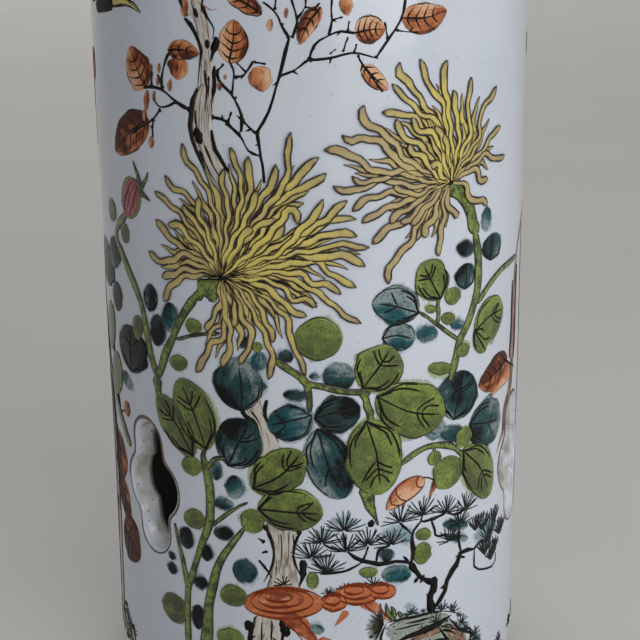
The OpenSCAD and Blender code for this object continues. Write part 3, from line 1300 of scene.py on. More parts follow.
for i, (*ends, width, arcs, feathers, tone) in enumerate(GREEN_VEINED):
    (base, tip), half = seen(ends, width)
    bow = sway(0.05)
    green_leaf(base, tip, half, 0.24 + 0.012 * (i % 8), arcs, feathers, bow, tone=tone)
for tone, rows in GREEN_ROUND.items():
    for i, row in enumerate(rows):
        (base, tip), half = round_leaf(*row)
        green_leaf(base, tip, half, 0.17 + 0.012 * (i % 4), 0, 0, sway(0.05), oval, tone)
print(len(GREEN_VEINED), "veined and", sum(map(len, GREEN_ROUND.values())), "round green leaves")

# %% [markdown]
# ## Blue-green leaves
# Between the green ones lie leaves of blue-green wash, painted wet: dark where the colour pooled, pale where
# the brush ran dry, and soft at the edge. The larger ones got veins in ink.

# %% Blue-green leaves
# Base x, y and tip x, y, width, arcs on each side, feather strokes at the tip, and tone from dark to bright
TEAL_VEINED = (
    (228, 466, 251, 420, 46, 2, 2, 0.1), (312, 415, 267, 425, 36, 1, 1, 0.6),
    (317, 428, 345, 498, 48, 2, 1, 0.3), (314, 418, 360, 406, 36, 2, 2, -0.08),
    (419, 313, 372, 303, 36, 2, 1, 1.15), (453, 420, 464, 370, 38, 2, 2, 0.25),
    (469, 424, 500, 418, 42, 2, 1, 0.35), (132, 372, 131, 325, 24, 2, 1, -0.1),
    (242, 411, 240, 358, 48, 1, 0, 0.15),
)
# Round leaves by tone: middle x, y, width, height and arcs of ink on each side. The darkest ones lie at
# the left edge and the lower left, partly their own dark wash and partly painted shade where the light
# falls off
TEAL_ROUND = {
    -0.5: (
        (242, 342, 12, 14, 0), (224, 533, 21, 14, 0), (187, 538, 15, 22, 0), (207, 553, 13, 17, 0),
        (201, 582, 15, 14, 0), (198, 617, 14, 25, 0), (172, 556, 8, 8, 0), (172, 568, 10, 12, 0),
        (118, 297, 9, 28, 0), (157, 330, 15, 32, 0)),
    -0.05: (
        (286, 356, 16, 14, 0), (296, 394, 27, 13, 0), (466, 248, 20, 17, 0), (387, 555, 14, 14, 0)),
    0.15: (
        (339, 375, 33, 28, 0), (314, 376, 11, 8, 0), (452, 433, 24, 18, 0), (491, 247, 18, 27, 1),
        (465, 276, 20, 26, 1), (216, 471, 12, 20, 0), (224, 504, 20, 13, 0), (245, 569, 25, 24, 0),
        (114, 252, 9, 30, 0), (107, 261, 8, 36, 0), (150, 297, 13, 28, 1)),
    0.7: (
        (258, 361, 17, 20, 0), (427, 334, 22, 17, 0), (457, 323, 15, 12, 0), (234, 487, 19, 24, 0),
        (169, 317, 17, 30, 0), (127, 380, 9, 14, 0), (317, 629, 16, 10, 0)),
    1.0: (
        (398, 338, 33, 28, 1), (434, 430, 24, 20, 0), (486, 218, 10, 24, 0), (396, 574, 30, 18, 0)),
}
for i, (*ends, width, arcs, feathers, tone) in enumerate(TEAL_VEINED):
    (base, tip), half = seen(ends, width)
    bow = sway(0.06)
    wet_leaf(base, tip, half, 0.11 + 0.008 * i, arcs, feathers, bow, leafy, tone)
for tone, rows in TEAL_ROUND.items():
    for i, (*row, arcs) in enumerate(rows):
        (base, tip), half = round_leaf(*row)
        bow = sway(0.06)
        wet_leaf(base, tip, half, 0.05 + 0.012 * (i % 5), arcs, 0, bow, tone=tone + sway(0.1))
print(len(TEAL_VEINED), "veined and", sum(map(len, TEAL_ROUND.values())), "round blue-green leaves")

# %% [markdown]
# ## Autumn tree
# Behind the flowers an old tree climbs the wall. Its trunk is a pale streaky wash with a broken ink outline
# and knots. Its twigs are single ink strokes, and its last leaves are iron red, some of them half maroon.

# %% Trunk
TRUNK = (
    (14, 193, -6, 203, 30, 207, 60, 206, 90),
    (21, 206, 84, 202, 118, 203, 140, 212, 165, 226, 195, 232, 215),
    (22, 247, 394, 256, 418, 264, 436, 270, 460),
    (32, 268, 616, 264, 655),
)
# The stretch above the fungus is drawn in at its middle
PINCHED_TRUNK = (40, 284, 524, 284, 552, 283, 592)
BARK_LINES = (
    (2.2, 185, 18, 192, 26, 198, 38, 201, 50, 200, 62, 199, 76, 198, 89),
    (2.6, 198, 89, 193, 95, 192, 107, 190, 120, 191, 130, 196, 148, 205, 168, 213, 190),
    (2.0, 201, 4, 209, 20, 214, 29, 213, 39),
    (4.0, 217, 37, 214, 48, 211, 62),
    (2.4, 215, 66, 214, 89, 212, 103, 211, 116),
    (2.6, 212, 130, 216, 150, 226, 166, 236, 183, 240, 203),
    (1.4, 205, 70, 207, 92, 205, 112),
    (1.2, 209, 76, 209, 96),
    (1.4, 200, 150, 207, 166, 217, 184),
    (1.2, 205, 145, 214, 166, 226, 186),
    (1.2, 196, 110, 197, 126, 202, 142),
    (3.0, 241, 408, 247, 416, 256, 424, 259, 436),
    (2.4, 267, 400, 265, 414, 270, 426, 279, 442),
    (1.0, 250, 410, 258, 420, 264, 436),
    (2.2, 266, 528, 271, 537, 274, 550, 272, 566, 264, 582),
    (2.0, 302, 532, 296, 541, 293, 552, 296, 566, 303, 580),
    (4.6, 304, 560, 303, 572, 299, 587),
    (1.6, 259, 560, 266, 568, 272, 578),
    (0.8, 281, 534, 282, 552, 279, 574),
    (0.8, 288, 532, 289, 550, 287, 566),
    (1.0, 293, 534, 294, 548, 291, 562),
    (3.0, 252, 622, 250, 640, 248, 655),
    (3.0, 282, 620, 283, 640, 281, 655),
    (1.2, 262, 622, 261, 650),
    (1.2, 272, 621, 271, 650),
    (2.0, 265, 542, 258, 538),
    (2.0, 268, 551, 262, 553),
)
# Each knot is a slanted dab: from x, y to x, y, and its width
KNOTS = (
    (194, 8, 198, 18, 5), (207, 39, 208, 49, 5), (196, 127, 202, 144, 9), (248, 620, 250, 631, 9),
    (284, 625, 287, 637, 9), (368, 522, 374, 525, 8), (301, 534, 297, 531, 5), (268, 530, 263, 525, 5),
)
HATCH_HALF = 0.09


def pinched(t):
    return 0.52 + 0.48 * np.abs(2 * t - 1) ** 1.4


def hatched(path, half, count, lift=0.08):
    """Fine lines that run with a trunk at random places across it."""
    blade = Blade(path, half, even)
    for _ in range(count):
        start = rng.uniform(0, 0.7)
        along = np.linspace(start, start + rng.uniform(0.12, 0.3), 4)
        ink_line(blade.at(along, sway(0.85)), HATCH_HALF, thinning, lift)


for width, *pixels in TRUNK:
    path, half = seen(pixels, width)
    lay("bark", PETAL_ROD, path, half, even, 0.03, 0.05, 0.6, 0.12)
    hatched(path, half, 16)
width, *pixels = PINCHED_TRUNK
path, half = seen(pixels, width)
lay("bark", PETAL_ROD, path, half, pinched, 0.03, 0.05, 0.3, 0.1)
hatched(path, half * 0.6, 10)
inked(BARK_LINES, 1.8, thinning, 0.1, 0.05, 0.6)
for from_x, from_y, to_x, to_y, width in KNOTS:
    middle = ((from_x + to_x) / 2, (from_y + to_y) / 2)
    ink_line(*seen((from_x, from_y, *middle, to_x, to_y), width), oval, 0.1, 0.06)
print(len(TRUNK), "stretches of trunk")

# %% Twigs
TWIGS = (
    (2.6, 191, 110, 177, 102, 163, 90, 152, 87, 144, 88), (2.2, 163, 88, 162, 77, 167, 57, 171, 52),
    (1.8, 152, 86, 152, 71), (2.2, 177, 102, 168, 106, 160, 107, 155, 100, 155, 91),
    (2.4, 161, 109, 154, 119, 148, 123, 132, 134), (1.8, 154, 119, 153, 128, 154, 137),
    (1.8, 163, 90, 158, 74), (2.4, 217, 72, 224, 64),
    (2.6, 217, 72, 220, 82, 232, 94, 235, 99, 241, 112, 242, 120, 241, 132),
    (2.0, 232, 94, 234, 77, 234, 70, 230, 62), (2.0, 235, 78, 244, 75, 248, 70, 253, 61),
    (1.6, 246, 72, 236, 62), (1.8, 254, 62, 266, 64),
    (3.2, 212, 117, 223, 119, 230, 125, 237, 133, 243, 140), (2.2, 228, 122, 232, 112),
    (2.6, 242, 119, 251, 129, 257, 133),
    (2.8, 257, 133, 263, 123, 271, 107, 278, 82, 281, 71, 284, 58, 289, 38),
    (2.2, 289, 38, 281, 24, 275, 12, 263, 2), (1.8, 275, 10, 276, -4),
    (2.2, 292, 38, 296, 26, 297, 19, 291, -3), (2.0, 297, 19, 305, 7, 306, -4),
    (1.8, 305, 7, 314, 8, 320, 3), (2.4, 279, 76, 293, 71, 309, 60),
    (2.4, 309, 60, 315, 44, 328, 36, 341, 31, 355, 33), (2.0, 329, 35, 332, 20, 331, 10, 332, -3),
    (1.6, 332, 20, 343, 17), (1.8, 348, 31, 349, 21), (2.2, 309, 60, 331, 58, 354, 53, 376, 58),
    (1.6, 354, 53, 357, 44), (2.0, 358, 55, 363, 65, 383, 92),
    (2.2, 376, 58, 383, 48, 388, 40, 402, 18, 406, -4), (1.8, 388, 40, 385, 22),
    (1.8, 396, 30, 410, 32, 419, 32), (1.4, 330, 54, 336, 49), (1.6, 343, 52, 348, 37),
    (2.6, 257, 132, 259, 145, 264, 175, 264, 183), (2.2, 226, 123, 240, 135, 248, 150, 259, 156),
)
THORN = 1.6
for width, *pixels in TWIGS:
    ink_line(*seen(pixels, width * 1.4), twiggy, shake=0.5)
    # A joint swells where a twig leaves another, and now and then a thorn stands off
    path, half = seen(pixels, width * 2.1)
    ink_line([path[0], path[0] * 0.7 + path[1] * 0.3], half, thinning)
    for knee in path[1:-1:2]:
        ink_line([knee, knee + rng.uniform(-1, 1, 2) * THORN], 0.32, thinning)
print(len(TWIGS), "twigs")

# %% Red leaves and buds
# Base x, y and tip x, y, width, pairs of veins, and tone from brown to pale
RED_LEAVES = (
    (146, 88, 130, 46, 24, 4, 0.4), (168, 50, 200, 54, 19, 3, 0.0), (178, 57, 178, 80, 20, 0, 0.3),
    (149, 119, 116, 151, 30, 4, -0.4), (262, 14, 222, -8, 18, 3, -0.1), (229, 63, 234, 19, 30, 4, 0.6),
    (255, 67, 264, 92, 23, 0, 0.45), (321, 7, 299, 45, 18, 3, 0.2), (346, -6, 348, 16, 14, 0, 0.4),
    (355, 33, 386, 29, 29, 4, 0.7), (363, 65, 389, 90, 18, 3, 0.9), (402, 18, 447, 10, 30, 4, 0.4),
    (507, 357, 478, 386, 18, 4, -0.4), (124, 524, 140, 560, 16, 3, -1.0),
)
RED_BUDS = (
    (151, 68, 4, 10), (159, 68, 4, 10), (158, 81, 4, 9), (170, 85, 5, 13), (147, 100, 6, 20),
    (154, 96, 4, 11), (145, 115, 5, 13), (152, 142, 6, 12), (185, 8, 8, 18), (270, 25, 7, 13),
    (286, 13, 5, 11), (225, 77, 4, 6), (220, 86, 6, 9), (127, 409, 6, 14),
)
ORANGE_CURLS = (
    (3.0, 198, 1, 205, 6, 212, 10, 220, 7), (7.0, 436, 480, 433, 488, 428, 500),
)
for i, (*ends, width, pairs, tone) in enumerate(RED_LEAVES):
    (base, tip), half = seen(ends, width)
    red_leaf(base, tip, half, 0.06 + 0.01 * (i % 3), pairs, sway(0.07), tone)
for row in RED_BUDS:
    (base, tip), half = round_leaf(*row)
    lay("red", PETAL_ROD, bowed(base, tip, 0.05), half, oval, 0.08, 0.06, rng.uniform(0, 0.5))
for width, *pixels in ORANGE_CURLS:
    lay("red", PETAL_ROD, *seen(pixels, width), thinning, 0.09, 0.05, 0.3)
# The pale curled leaf among the green ones, with its rings
(base, tip), half = seen((425, 479, 386, 510), 18)
curled = bowed(base, tip, -0.08)
lay("red", LEAF_ROD, curled, half, pointed, 0.06, 0.04, 1.0, 0.1)
blade = Blade(curled, half, pointed)
for side in (-1, 1):
    edge = blade.at(np.linspace(0, 1, 13), side)
    lay("rust", PETAL_ROD, edge, 0.24, dabbed, 0.11, 0.03, 0.0)
for start in (0.1, 0.56, 0.74):
    ring = blade.at(start + 0.1 * np.cos(np.linspace(-1.5, 1.5, 7)), np.linspace(-0.95, 0.95, 7))
    lay("rust", PETAL_ROD, ring, 0.22, even, 0.11, 0.03, 0.0)
print(len(RED_LEAVES), "red leaves and", len(RED_BUDS), "buds")

# %% Brown branches at both edges, the pink bud and the tail of a bird
BROWN_BRANCH = (4, 516, 262, 514, 310, 511, 358)
# Two long dry leaves that hang beside the left window
DRY_LEAVES = ((118, 428, 122, 481, 8, 3), (119, 470, 131, 524, 8, 3))
BRANCH_LINES = (
    (1.2, 517, 264, 515, 310, 513, 357), (1.0, 513, 280, 511, 330, 509, 357), (1.4, 503, 359, 513, 366),
    (1.4, 423, 477, 430, 478, 437, 482), (1.6, 111, 300, 114, 342, 117, 380, 122, 420),
)
width, *pixels = BROWN_BRANCH
lay("brown", PETAL_ROD, *seen(pixels, width), growing, 0.04, 0.06, 0.5, 0.15)
for *ends, width, pairs in DRY_LEAVES:
    (base, tip), half = seen(ends, width)
    red_leaf(base, tip, half, 0.05, pairs, 0.05, -0.6)
# Two more spread from its foot: a pale one over the leaves and one that runs down beside the right window
lay("red", PETAL_ROD, *seen((509, 366, 499, 383, 490, 397), 9), thinning, 0.05, 0.04, 0.7)
ring = round_window(*LOW_WINDOWS[2], np.radians((100, 116, 130, 144, 158)), 3.3)
path = np.vstack([on_wall([(512, 354)]), ring])
lay("brown", PETAL_ROD, path, 2.2, thinning, 0.04, 0.06, -0.2, 0.15)
inked(BRANCH_LINES, 1, even)
(base, tip), half = seen((127, 216, 137, 180), 18)
lay("green", LEAF_ROD, bowed(base, tip, 0.03), half * 1.12, oval, 0.1, 0.05)
lay("rose", LEAF_ROD, bowed(base, tip, 0.03), half * 0.86, oval, 0.18, 0.12)
blade = Blade(bowed(base, tip, 0.03), half * 0.8, oval)
for across in (-0.6, 0.0, 0.55):
    fold = wavy(blade.at(np.linspace(0.08, 0.92, 6), across), 0.2)
    ink_line(fold, 0.2, dabbed, 0.31, 0.04, 0.4)
BUD_SEPALS = ((141, 190, 139, 176, 134, 161), (141, 190, 146, 181, 149, 172), (141, 191, 146, 196, 151, 201))
for pixels in BUD_SEPALS:
    stem(*seen(pixels, 5), 0.2, thinning)
BIRD_TAIL = ((97, 6, 104, 5, 113, 3), (112, 2, 126, 2, 141, 12))
lay("ink", PETAL_ROD, *seen(BIRD_TAIL[0], 14), even, 0.1, 0.06)
lay("petals", PETAL_ROD, *seen(BIRD_TAIL[1], 9), thinning, 0.08, 0.05, 0.9)
ink_line(*seen((113, 7, 127, 6, 141, 13), 1.8), thinning)
ink_line(*seen((126, -2, 134, 3, 141, 12), 1.8), thinning)
print("edges are painted")

# %% [markdown]
# ## Pine, fungus and rock
# At the foot stand a little pine, sacred fungus and a garden rock. A pine tuft is a fan of needles over a
# spot of wash. The fungus is built from rings, one cap inside another, and the rock from a pale wash, a few
# strong contours and dots of moss.

# %% Pine
PINE_TUFTS = (
    (400, 522, 18), (422, 515, 19), (446, 513, 18), (465, 510, 17), (459, 524, 15), (391, 545, 17),
    (368, 545, 18), (346, 551, 19), (344, 531, 19), (322, 543, 18), (312, 558, 19), (327, 572, 18),
    (488, 540, 24), (499, 534, 17), (475, 531, 16), (449, 541, 15), (484, 555, 18), (493, 552, 15),
    (482, 530, 17), (493, 522, 15), (490, 560, 14),
)
# Spots of colour behind the needles: middle x, y, width and height
PINE_WASHES = (
    (344, 523, 30, 14), (397, 537, 36, 22), (322, 536, 22, 12), (487, 530, 20, 28), (318, 560, 20, 12),
    (410, 607, 14, 10),
)
PINE_DARKS = ((455, 524, 26, 13), (457, 537, 22, 9), (383, 552, 12, 9))
PINE_BRANCHES = (
    (7.5, 432, 612, 430, 596, 434, 584, 433, 577), (6.0, 434, 582, 424, 579, 415, 571, 410, 562),
    (3.6, 410, 564, 413, 551, 412, 534, 421, 521), (2.4, 412, 534, 404, 527, 399, 522),
    (2.4, 421, 521, 433, 519, 446, 512), (2.4, 431, 519, 434, 528, 437, 536, 449, 534),
    (2.0, 446, 513, 456, 514, 465, 509), (2.0, 421, 521, 422, 514),
    (3.6, 411, 563, 399, 561, 383, 564, 363, 561, 348, 552), (2.2, 376, 562, 379, 550, 390, 545),
    (2.0, 363, 561, 368, 546), (2.2, 364, 561, 348, 570, 332, 573, 320, 574),
    (2.0, 348, 552, 334, 549, 322, 543), (2.0, 343, 532, 346, 551), (2.0, 330, 573, 320, 566, 312, 558),
    (3.6, 434, 608, 444, 593, 447, 579, 458, 561, 461, 552, 473, 549), (2.0, 461, 552, 458, 538, 459, 525),
    (2.0, 474, 549, 475, 568, 493, 565, 495, 552), (2.2, 473, 549, 480, 541, 488, 540),
)
PINE_SPURS = (
    (426, 594, 432, 597), (424, 574, 420, 583), (440, 588, 448, 584), (451, 569, 458, 566),
    (455, 556, 465, 557), (403, 556, 409, 562), (418, 577, 414, 583), (437, 578, 434, 584),
)
NEEDLES = 14
FAN_DEG = 88
NEEDLE_HALF = 0.17
# The tufts at the right edge stand upright
UPRIGHT_FROM = 470
UPRIGHT_DEG = 50
UPRIGHT_NEEDLES = 17


def pine_tuft(root, radius, aim_deg=90.0, needles=NEEDLES, fan=FAN_DEG):
    """A fan of dark needles about a root, in mm."""
    root = np.array(root, float)
    aim = math.radians(aim_deg)
    for i in range(needles):
        bend = aim + math.radians(np.interp(i, (0, needles - 1), (-fan, fan)) + sway(6))
        way = np.array([math.cos(bend), math.sin(bend)])
        inner = root + way * radius * 0.06
        outer = root + way * radius * rng.uniform(0.8, 1.15)
        needle = [inner, (inner + outer) / 2 + rng.normal(0, 0.1, 2), outer]
        lay("needles", LINE_ROD, needle, NEEDLE_HALF, even, 0.12, 0.04, shake=0.3)


for root_x, root_y, radius in PINE_TUFTS:
    path, half = seen((root_x, root_y, root_x, root_y - radius), 2)
    fan = (UPRIGHT_NEEDLES, UPRIGHT_DEG) if root_x > UPRIGHT_FROM else (NEEDLES, FAN_DEG)
    pine_tuft(path[0], np.linalg.norm(path[1] - path[0]), 90.0, *fan)
inked(PINE_BRANCHES, 1, even, 0.14, 0.05, 0.55)
for row in PINE_SPURS:
    ink_line(*seen(row, 3), dabbed, 0.14, 0.05)
for row in PINE_WASHES:
    (base, tip), half = round_leaf(*row)
    lay("mist", LEAF_ROD, bowed(base, tip, 0.1), half, oval, 0.03, 0.03, 0.4, 0.35)
for row in PINE_DARKS:
    (base, tip), half = round_leaf(*row)
    wet_leaf(base, tip, half, 0.04, tone=0.3)
print(len(PINE_TUFTS), "pine tufts")

# %% Fungus
RING_LIFT = 0.05
RING_TONES = (1.2, 0.9, 0.5, -0.3)


def ringed_cap(middle_x, middle_y, width, height, rings):
    """A fungus cap: one oval inside another, each closed by a deep red line, the inner ones set back."""
    for i in range(rings):
        share = 1 - i / (rings + 0.6)
        spot = (middle_x - 1.6 * i, middle_y - 2.2 * i)
        (base, tip), half = round_leaf(*spot, width * share, height * share)
        lift = 0.08 + RING_LIFT * i
        lay("lingzhi", LEAF_ROD, bowed(base, tip, 0.02), half, oval, lift, 0.03, RING_TONES[i])
        bends = np.radians(np.linspace(0, 360, 19))
        around = np.column_stack([spot[0] + width * share / 2 * np.cos(bends),
                                  spot[1] + height * share / 2 * np.sin(bends)])
        for half_turn in (around[:10], around[9:]):
            line = on_wall(wavy(half_turn, 0.15))
            lay("rust", PETAL_ROD, line, 0.42, dabbed, lift + 0.035, 0.02, shake=0.4)


ringed_cap(284, 603, 80, 31, 4)
lay("lingzhi", LEAF_ROD, *seen((284, 610, 302, 627, 320, 647), 24), thinning, 0.06, 0.05, 0.2)
ringed_cap(334, 602, 25, 17, 2)
ringed_cap(382, 591, 28, 15, 2)
ringed_cap(357, 594, 44, 20, 3)
lay("lingzhi", LEAF_ROD, *seen((362, 600, 376, 609, 390, 621), 14), thinning, 0.07, 0.05, 0.2)
lay("lingzhi", LEAF_ROD, *seen((347, 611, 341, 619, 334, 627), 8), thinning, 0.07, 0.05, 0.9)
FUNGUS_LINES = (
    (1.6, 298, 617, 310, 630, 321, 647), (1.6, 282, 619, 296, 632, 308, 647),
    (1.4, 380, 603, 382, 611, 390, 620), (1.4, 364, 604, 374, 613, 386, 621),
)
for width, *pixels in FUNGUS_LINES:
    lay("rust", PETAL_ROD, *seen(pixels, width * 1.3), thinning, 0.13, 0.03)
print("fungus is painted")

# %% Rock and moss
ROCK_WASHES = (
    (24, 386, 634, 410, 627, 436, 622, 450, 618), (30, 398, 646, 430, 640, 462, 642),
    (16, 446, 622, 458, 632, 466, 644), (22, 380, 650, 400, 646, 430, 652),
)
ROCK_LINES = (
    (2.6, 386, 623, 400, 619, 416, 616, 432, 612, 446, 611), (2.4, 386, 624, 382, 634, 379, 650),
    (5.5, 451, 615, 440, 623, 428, 629, 412, 635, 394, 643), (2.6, 448, 617, 460, 629, 470, 629, 469, 650),
    (1.8, 404, 624, 418, 621, 434, 616), (1.6, 395, 630, 412, 626, 426, 622),
    (2.2, 434, 634, 446, 630, 456, 634), (2.2, 420, 648, 436, 640, 452, 640),
    (1.8, 440, 628, 448, 624, 454, 628), (1.8, 452, 646, 460, 638),
)
ROCK_EARTH = ((14, 446, 628, 455, 634, 464, 643), (9, 410, 640, 424, 634, 440, 628))
MOSS = (
    (405, 614), (411, 611), (417, 613), (423, 610), (440, 606), (452, 606), (459, 614), (462, 622),
    (466, 626), (474, 634), (478, 638), (371, 636), (376, 632),
)
# Root x, y, radius and lean of each tuft of grass
GRASS = (
    (284, 585, 9, 100), (346, 590, 9, 80), (373, 585, 9, 70), (330, 593, 7, 90), (452, 612, 10, 70),
    (442, 610, 9, 95), (474, 640, 9, 60), (412, 614, 7, 100), (461, 622, 8, 40),
)


def stippled(path, half, count):
    """Short ink dabs scattered over a wash."""
    blade = Blade(path, half, leafy)
    for along, across in zip(rng.uniform(0.05, 0.95, count), rng.uniform(-0.9, 0.9, count)):
        spot = blade.at(np.array([along]), np.array([across]))[0]
        ink_line([spot, spot + rng.normal(0, 0.6, 2)], rng.uniform(0.1, 0.22), dabbed, 0.1, 0.03)


for width, *pixels in ROCK_WASHES:
    path, half = seen(pixels, width)
    lay("rock", LEAF_ROD, path, half, oval, 0.03, 0.05, 1.0, 0.15)
    hatched(path, half, 10)
    stippled(path, half, 18)
for width, *pixels in ROCK_EARTH:
    lay("brown", LEAF_ROD, *seen(pixels, width), oval, 0.06, 0.05, 1.5, 0.3)
inked(ROCK_LINES, 1, dabbed, 0.1, 0.05, 0.5)
for dot_x, dot_y in MOSS:
    (base, tip), half = round_leaf(dot_x, dot_y, 6, 5)
    wet_leaf(base, tip, half, 0.14, tone=0.0)
for root_x, root_y, radius, lean in GRASS:
    path, half = seen((root_x, root_y, root_x, root_y - radius), 2)
    pine_tuft(path[0], np.linalg.norm(path[1] - path[0]), lean, 7)


def shrub(root, radius, aim_deg):
    """A fan of short olive blades with ink between them, in mm."""
    for bend in np.radians(aim_deg + np.linspace(-70, 70, 9)):
        way = np.array([math.cos(bend), math.sin(bend)]) * radius * rng.uniform(0.8, 1.1)
        lay("rock", PETAL_ROD, [root, root + way / 2, root + way], radius * 0.14, dabbed, 0.1, 0.05, 0.0)
        lay("stems", PETAL_ROD, [root, root + way * 0.7], radius * 0.07, dabbed, 0.16, 0.03)
        for shift in rng.normal(0, 0.35, (2, 2)):
            ink_line([root + shift * 0.3, root + way * rng.uniform(0.6, 1) + shift], 0.13, thinning, 0.22)


shrub(on_wall([(383, 624)])[0], 6, 172)
SPROUTS = ((392, 621, 388, 612, 386, 603), (395, 621, 394, 612, 391, 606), (402, 619, 400, 615, 398, 611))
for pixels in SPROUTS:
    stem(*seen(pixels, 5), 0.2, dabbed)
print("rock is painted")

# %% Line round each window
WINDOW_LINE_OUT = 0.48


def window_line(centre, lean):
    """A thin warm line that follows a window, in four strokes so that it thickens and thins."""
    for quarter in range(4):
        bends = np.radians(np.linspace(quarter * 90 - 6, quarter * 90 + 96, 33))
        edge = round_window(centre, lean, bends)
        broad = 0.2 * (quarter == 1)
        path = edge - beside_of(edge) * (WINDOW_LINE_OUT + broad)
        lay("outline", PETAL_ROD, path, 0.34 + broad, even, 0.03, 0.03, shake=0.3)


for low, high in zip(LOW_WINDOWS, HIGH_WINDOWS):
    window_line(*low)
    window_line(*high)
print("six windows are lined")

# %% [markdown]
# ## The tree above and the bird
# The scene goes on around the stand, so the same motifs are laid out for what can't be seen from the front.
# From here on places are in millimetres: around the wall from the middle of the front, and up from the
# foot. The tree's last twigs and leaves end below the rim, and a bird sits on a branch where its tail
# already showed.

# %% Upper tree
UPPER_TRUNK = ((3.4, -40.4, 199, -42.6, 212, -41, 228, -43, 241, -47, 255),)
UPPER_TWIGS = (
    (-19.1, 203.8, -20, 214, -14, 224), (-15.5, 203.6, -17, 210, -20, 214), (-12, 203.8, -9, 213, -2, 222),
    (-5.8, 203.5, -4, 213, 3, 222, 8, 232), (12.8, 203.1, 16, 213, 24, 221, 33, 228), (16, 213, 23, 211),
    (-41, 229, -33, 236, -22, 245, -10, 250), (-43, 241, -52, 250, -58, 257),
    (-33, 236, -31, 246, -28, 254), (-22, 245, -23, 252), (24, 221, 25, 231, 30, 239), (3, 222, 12, 221),
)
# Base and tip of each leaf, its width and its pairs of veins
UPPER_LEAVES = (
    (-14, 224, -7, 233, 8, 3), (-2, 222, 5, 227, 7, 0), (8, 232, 16, 240, 9, 4), (33, 228, 44, 231, 9, 4),
    (23, 211, 30, 206, 7, 3), (-10, 250, 1, 253, 9, 3), (-23, 252, -22, 263, 8, 3),
    (-58, 257, -66, 265, 8, 3), (-28, 254, -24, 264, 9, 4), (-47, 254, -48, 266, 9, 3),
    (30, 239, 37, 247, 8, 3), (12, 221, 20, 222, 6, 0), (-20, 214, -29, 218, 7, 3),
    (-52, 250, -50, 259, 6, 0),
)


def tree(trunk, twigs, leaves):
    """A tree in mm: stretches of trunk with their half width, twigs, and leaves."""
    for half, *points in trunk:
        path = pairs_of(points)
        lay("bark", PETAL_ROD, path, half, tapering, 0.03, 0.05, shake=0.12)
        hatched(path, half * 0.7, 18)
        blade = Blade(path, half, tapering)
        for side in (-1, 1):
            for start in (0.0, 0.17, 0.35, 0.52, 0.68, 0.84):
                along = np.linspace(start, start + 0.17, 5)
                ink_line(wavy(blade.at(along, side * 0.98), 0.15), 0.4, dabbed, 0.1, 0.05, 0.5)
        for share in (0.22, 0.58):
            knot = blade.at(np.array([share, share + 0.04]), sway(0.3))
            ink_line(knot, half * 0.3, oval, 0.1, 0.06)
    for points in twigs:
        path = pairs_of(points)
        ink_line(path, 0.42, twiggy, shake=0.45)
        ink_line([path[0], path[0] * 0.7 + path[1] * 0.3], 0.42, thinning)
        ink_line([path[1], path[1] + rng.uniform(-1.6, 1.6, 2)], 0.22, thinning)
    for *ends, width, pairs in leaves:
        red_leaf(*pairs_of(ends), width / 2, 0.06, pairs, sway(0.07))


tree(UPPER_TRUNK, UPPER_TWIGS, UPPER_LEAVES)
print(len(UPPER_LEAVES), "leaves above")

# %% Trees at both sides
# The right one climbs past the edge of the front, the left one carries the bird
SIDE_TREES = (
    (
        ((2.6, 82, 13, 80, 50, 78, 84, 77, 112, 80, 138, 88, 160, 90, 186, 98, 206),),
        (
            (88, 160, 82, 170, 80, 181), (77, 112, 88, 118, 97, 119), (80, 130, 89, 137, 99, 139),
            (86, 150, 95, 151), (80, 50, 90, 60, 97, 63), (98, 206, 106, 216, 108, 228),
            (98, 206, 92, 218, 93, 229), (91, 190, 100, 194), (106, 216, 117, 222, 128, 224),
            (117, 222, 122, 231), (128, 224, 138, 233, 141, 244),
        ),
        (
            (80, 181, 79, 192, 8, 3), (97, 119, 106, 121, 8, 4), (99, 139, 108, 143, 9, 4),
            (95, 151, 103, 156, 7, 0), (97, 63, 105, 69, 8, 3), (88, 118, 90, 109, 7, 3),
            (108, 228, 104, 239, 9, 4), (93, 229, 88, 239, 8, 3), (100, 194, 108, 199, 8, 3),
            (122, 231, 121, 242, 9, 4), (141, 244, 147, 253, 9, 4), (138, 233, 148, 234, 8, 3),
            (128, 224, 137, 220, 7, 0),
        ),
    ),
    (
        ((3.4, -92, 13, -90, 46, -88, 76, -94, 104, -104, 130, -110, 160, -118, 186),),
        (
            (-118, 186, -108, 197, -95, 200.4, -85, 200), (-104, 130, -114, 136, -122, 138),
            (-110, 160, -100, 168, -96, 178), (-110, 160, -122, 166, -132, 168),
            (-118, 186, -128, 196, -132, 208), (-108, 197, -110, 206), (-92, 90, -102, 98, -112, 100),
            (-132, 208, -140, 222, -141, 236), (-132, 208, -145, 213, -157, 214),
            (-145, 213, -152, 224, -154, 233), (-132, 168, -146, 174, -158, 174),
        ),
        (
            (-122, 138, -131, 142, 8, 4), (-96, 178, -91, 187, 8, 3), (-141, 236, -138, 247, 9, 4),
            (-157, 214, -167, 210, 9, 4), (-154, 233, -160, 243, 8, 3), (-158, 174, -168, 178, 9, 4),
            (-140, 222, -130, 228, 8, 3), (-146, 174, -150, 184, 7, 0), (-132, 208, -131, 219, 9, 4),
            (-128, 196, -139, 199, 8, 3), (-112, 100, -121, 104, 8, 3), (-100, 168, -98, 159, 7, 0),
            (-114, 136, -113, 127, 7, 3),
        ),
    ),
)
for trunk, twigs, leaves in SIDE_TREES:
    tree(trunk, twigs, leaves)
